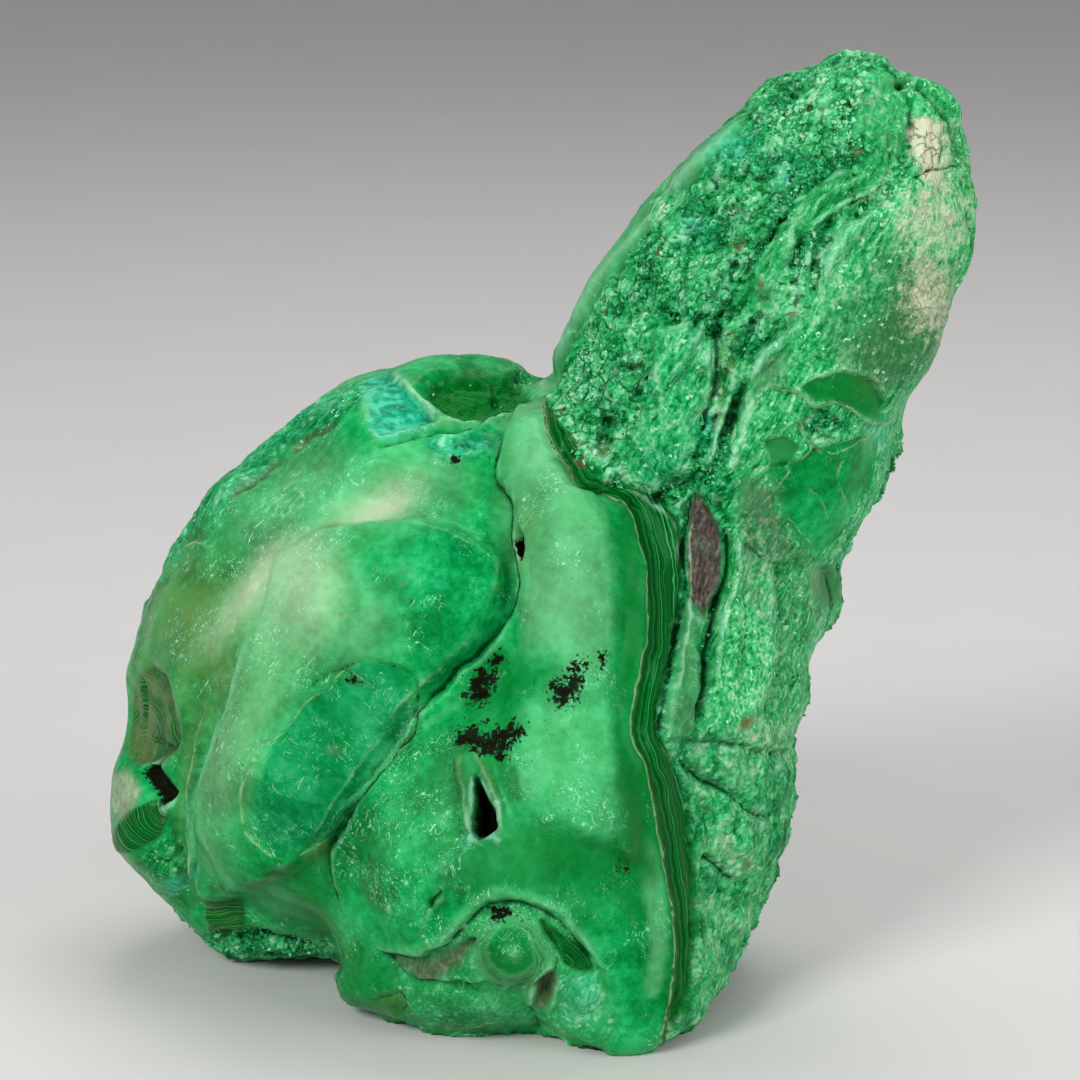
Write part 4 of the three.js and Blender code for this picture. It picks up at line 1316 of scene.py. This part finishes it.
# small double pyramids, half sunk in the skin wherever that is rough, and smaller on the flanks
def scatterCrystals(mesh, settings):
    chance = np.random.default_rng(settings["seed"])
    count = settings["count"]
    mesh.calc_loop_triangles()
    corners = np.empty(len(mesh.loop_triangles) * 3, np.int32)
    mesh.loop_triangles.foreach_get("vertices", corners)
    corners = corners.reshape(-1, 3)
    places = np.empty(len(mesh.vertices) * 3, np.float32)
    mesh.vertices.foreach_get("co", places)
    places = places.reshape(-1, 3) / mm
    rough = np.empty(len(mesh.vertices), np.float32)
    mesh.attributes["rough"].data.foreach_get("value", rough)
    a, b, c = (places[corners[:, k]] for k in range(3))
    normals = np.cross(b - a, c - a)
    areas = np.linalg.norm(normals, axis=1)
    normals /= np.maximum(areas, 1e-9)[:, None]
    inFront = 0.3 + 0.7 * rise(-normals[:, 1], -0.2, 0.3)
    clustered = 0.15 + rise(noise(a, 3.5, 23) + 0.5 * noise(a, 9, 24), 0.0, 0.5)
    weights = areas * rise(rough[corners].mean(axis=1), 0.5, 0.95) * inFront * clustered * (a[:, 2] > 2)
    chosen = chance.choice(len(weights), count, p=weights / weights.sum())
    u, v = chance.random((2, count, 1))
    u, v = np.where(u + v > 1, 1 - u, u), np.where(u + v > 1, 1 - v, v)
    centres = a[chosen] + u * (b - a)[chosen] + v * (c - a)[chosen]
    least, most = settings["half"]
    half = least + (most - least) * chance.random((count, 1)) ** 2
    half *= 0.5 + 0.5 * rise(-normals[chosen, 1:2], 0.1, 0.6)
    centres = centres + normals[chosen] * half * settings["proud"]

    main = unit(0.7 * normals[chosen] + unit(chance.normal(size=(count, 3))))
    second = unit(np.cross(main, chance.normal(size=(count, 3))))
    third = np.cross(main, second)
    main = main * half * chance.uniform(*settings["stretch"], (count, 1))
    second, third = second * half, third * half * 0.85
    tips = np.stack([centres + way for way in (main, second, third, -second, -third, -main)], axis=1)
    faces = np.array([(0, 1, 2), (0, 2, 3), (0, 3, 4), (0, 4, 1), (5, 2, 1), (5, 3, 2), (5, 4, 3), (5, 1, 4)])
    allFaces = (faces[None] + 6 * np.arange(count)[:, None, None]).reshape(-1, 3)
    made = bpy.data.meshes.new("crystals")
    made.from_pydata((tips.reshape(-1, 3) * mm).tolist(), [], allFaces.tolist())
    tone = np.clip(chance.random(count) * 0.7 + 0.1 + 0.3 * noise(centres, 5, 21), 0, 0.9)
    tone = np.where(chance.random(count) > 1 - settings["rusty"], 1, tone)
    setAttribute(made, "tone", np.repeat(tone, 6))
    return made


def crystalMaterial(look):
    paint = Paint("malachiteCrystals")
    tone = paint.attribute("tone") + (paint.clouds(0.5) - 0.5) * 0.12
    return paint.finish(
        Base_Color=paint.ramp(tone, look["tones"]),
        Roughness=0.32,
        Specular_IOR_Level=0.5,
        Specular_Tint=look["shine"],
    )


def addPiece(name, mesh, material):
    piece = bpy.data.objects.new(name, mesh)
    bpy.context.scene.collection.objects.link(piece)
    mesh.materials.clear()
    mesh.materials.append(material)
    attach(piece, "root")
    return piece


specimen = addPiece("malachite_skin", skinMesh, skinMaterial(skinLook))
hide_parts("malachite_lump")
print("skin painted")
crystalMesh = scatterCrystals(skinMesh, crystalSettings)
addPiece("drusy_crystals", crystalMesh, crystalMaterial(crystalLook))
print("crystals scattered:", crystalSettings["count"])

floorSettings = {"size": 6.0, "colour": (0.60, 0.59, 0.58), "roughness": 0.7}
lights = {
    # each stands at a place in metres from the specimen's foot and shines at its middle
    "key": {"at": (-0.50, -0.68, 0.62), "size": 0.35, "power": 7.9},
    "fill": {"at": (0.65, -0.45, 0.40), "size": 0.45, "power": 3.5},
    "top": {"at": (0.10, 0.35, 0.90), "size": 0.60, "power": 4},
}
skyLight = {"Color": (0.72, 0.71, 0.72, 1), "Strength": 0.50}


def addFloor(settings):
    half = settings["size"] / 2
    mesh = bpy.data.meshes.new("floor")
    mesh.from_pydata([(-half, -half, 0), (half, -half, 0), (half, half, 0), (-half, half, 0)], [],
                     [(0, 1, 2, 3)])
    floor = bpy.data.objects.new("floor", mesh)
    bpy.context.scene.collection.objects.link(floor)
    paint = Paint("paleFloor")
    mottle = paint.mix(paint.clouds(30, 4), settings["colour"], [part * 0.94 for part in settings["colour"]])
    mesh.materials.append(paint.finish(Base_Color=mottle, Roughness=settings["roughness"]))


def addLights(settings, sky):
    middle = boxMiddle * mm
    for name, light in settings.items():
        lamp = bpy.data.lights.new(name, "AREA")
        lamp.size, lamp.energy = light["size"], light["power"]
        made = bpy.data.objects.new(name, lamp)
        made.location = light["at"]
        way = middle - np.array(light["at"])
        made.rotation_euler = (math.atan2(math.hypot(way[0], way[1]), -way[2]), 0,
                               math.atan2(-way[0], way[1]))
        bpy.context.scene.collection.objects.link(made)
    world = bpy.data.worlds.new("studio")
    world.use_nodes = True
    for name, value in sky.items():
        world.node_tree.nodes["Background"].inputs[name].default_value = value
    bpy.context.scene.world = world


addFloor(floorSettings)
addLights(lights, skyLight)
bpy.context.scene.view_settings.view_transform = "Standard"
print("studio lit")
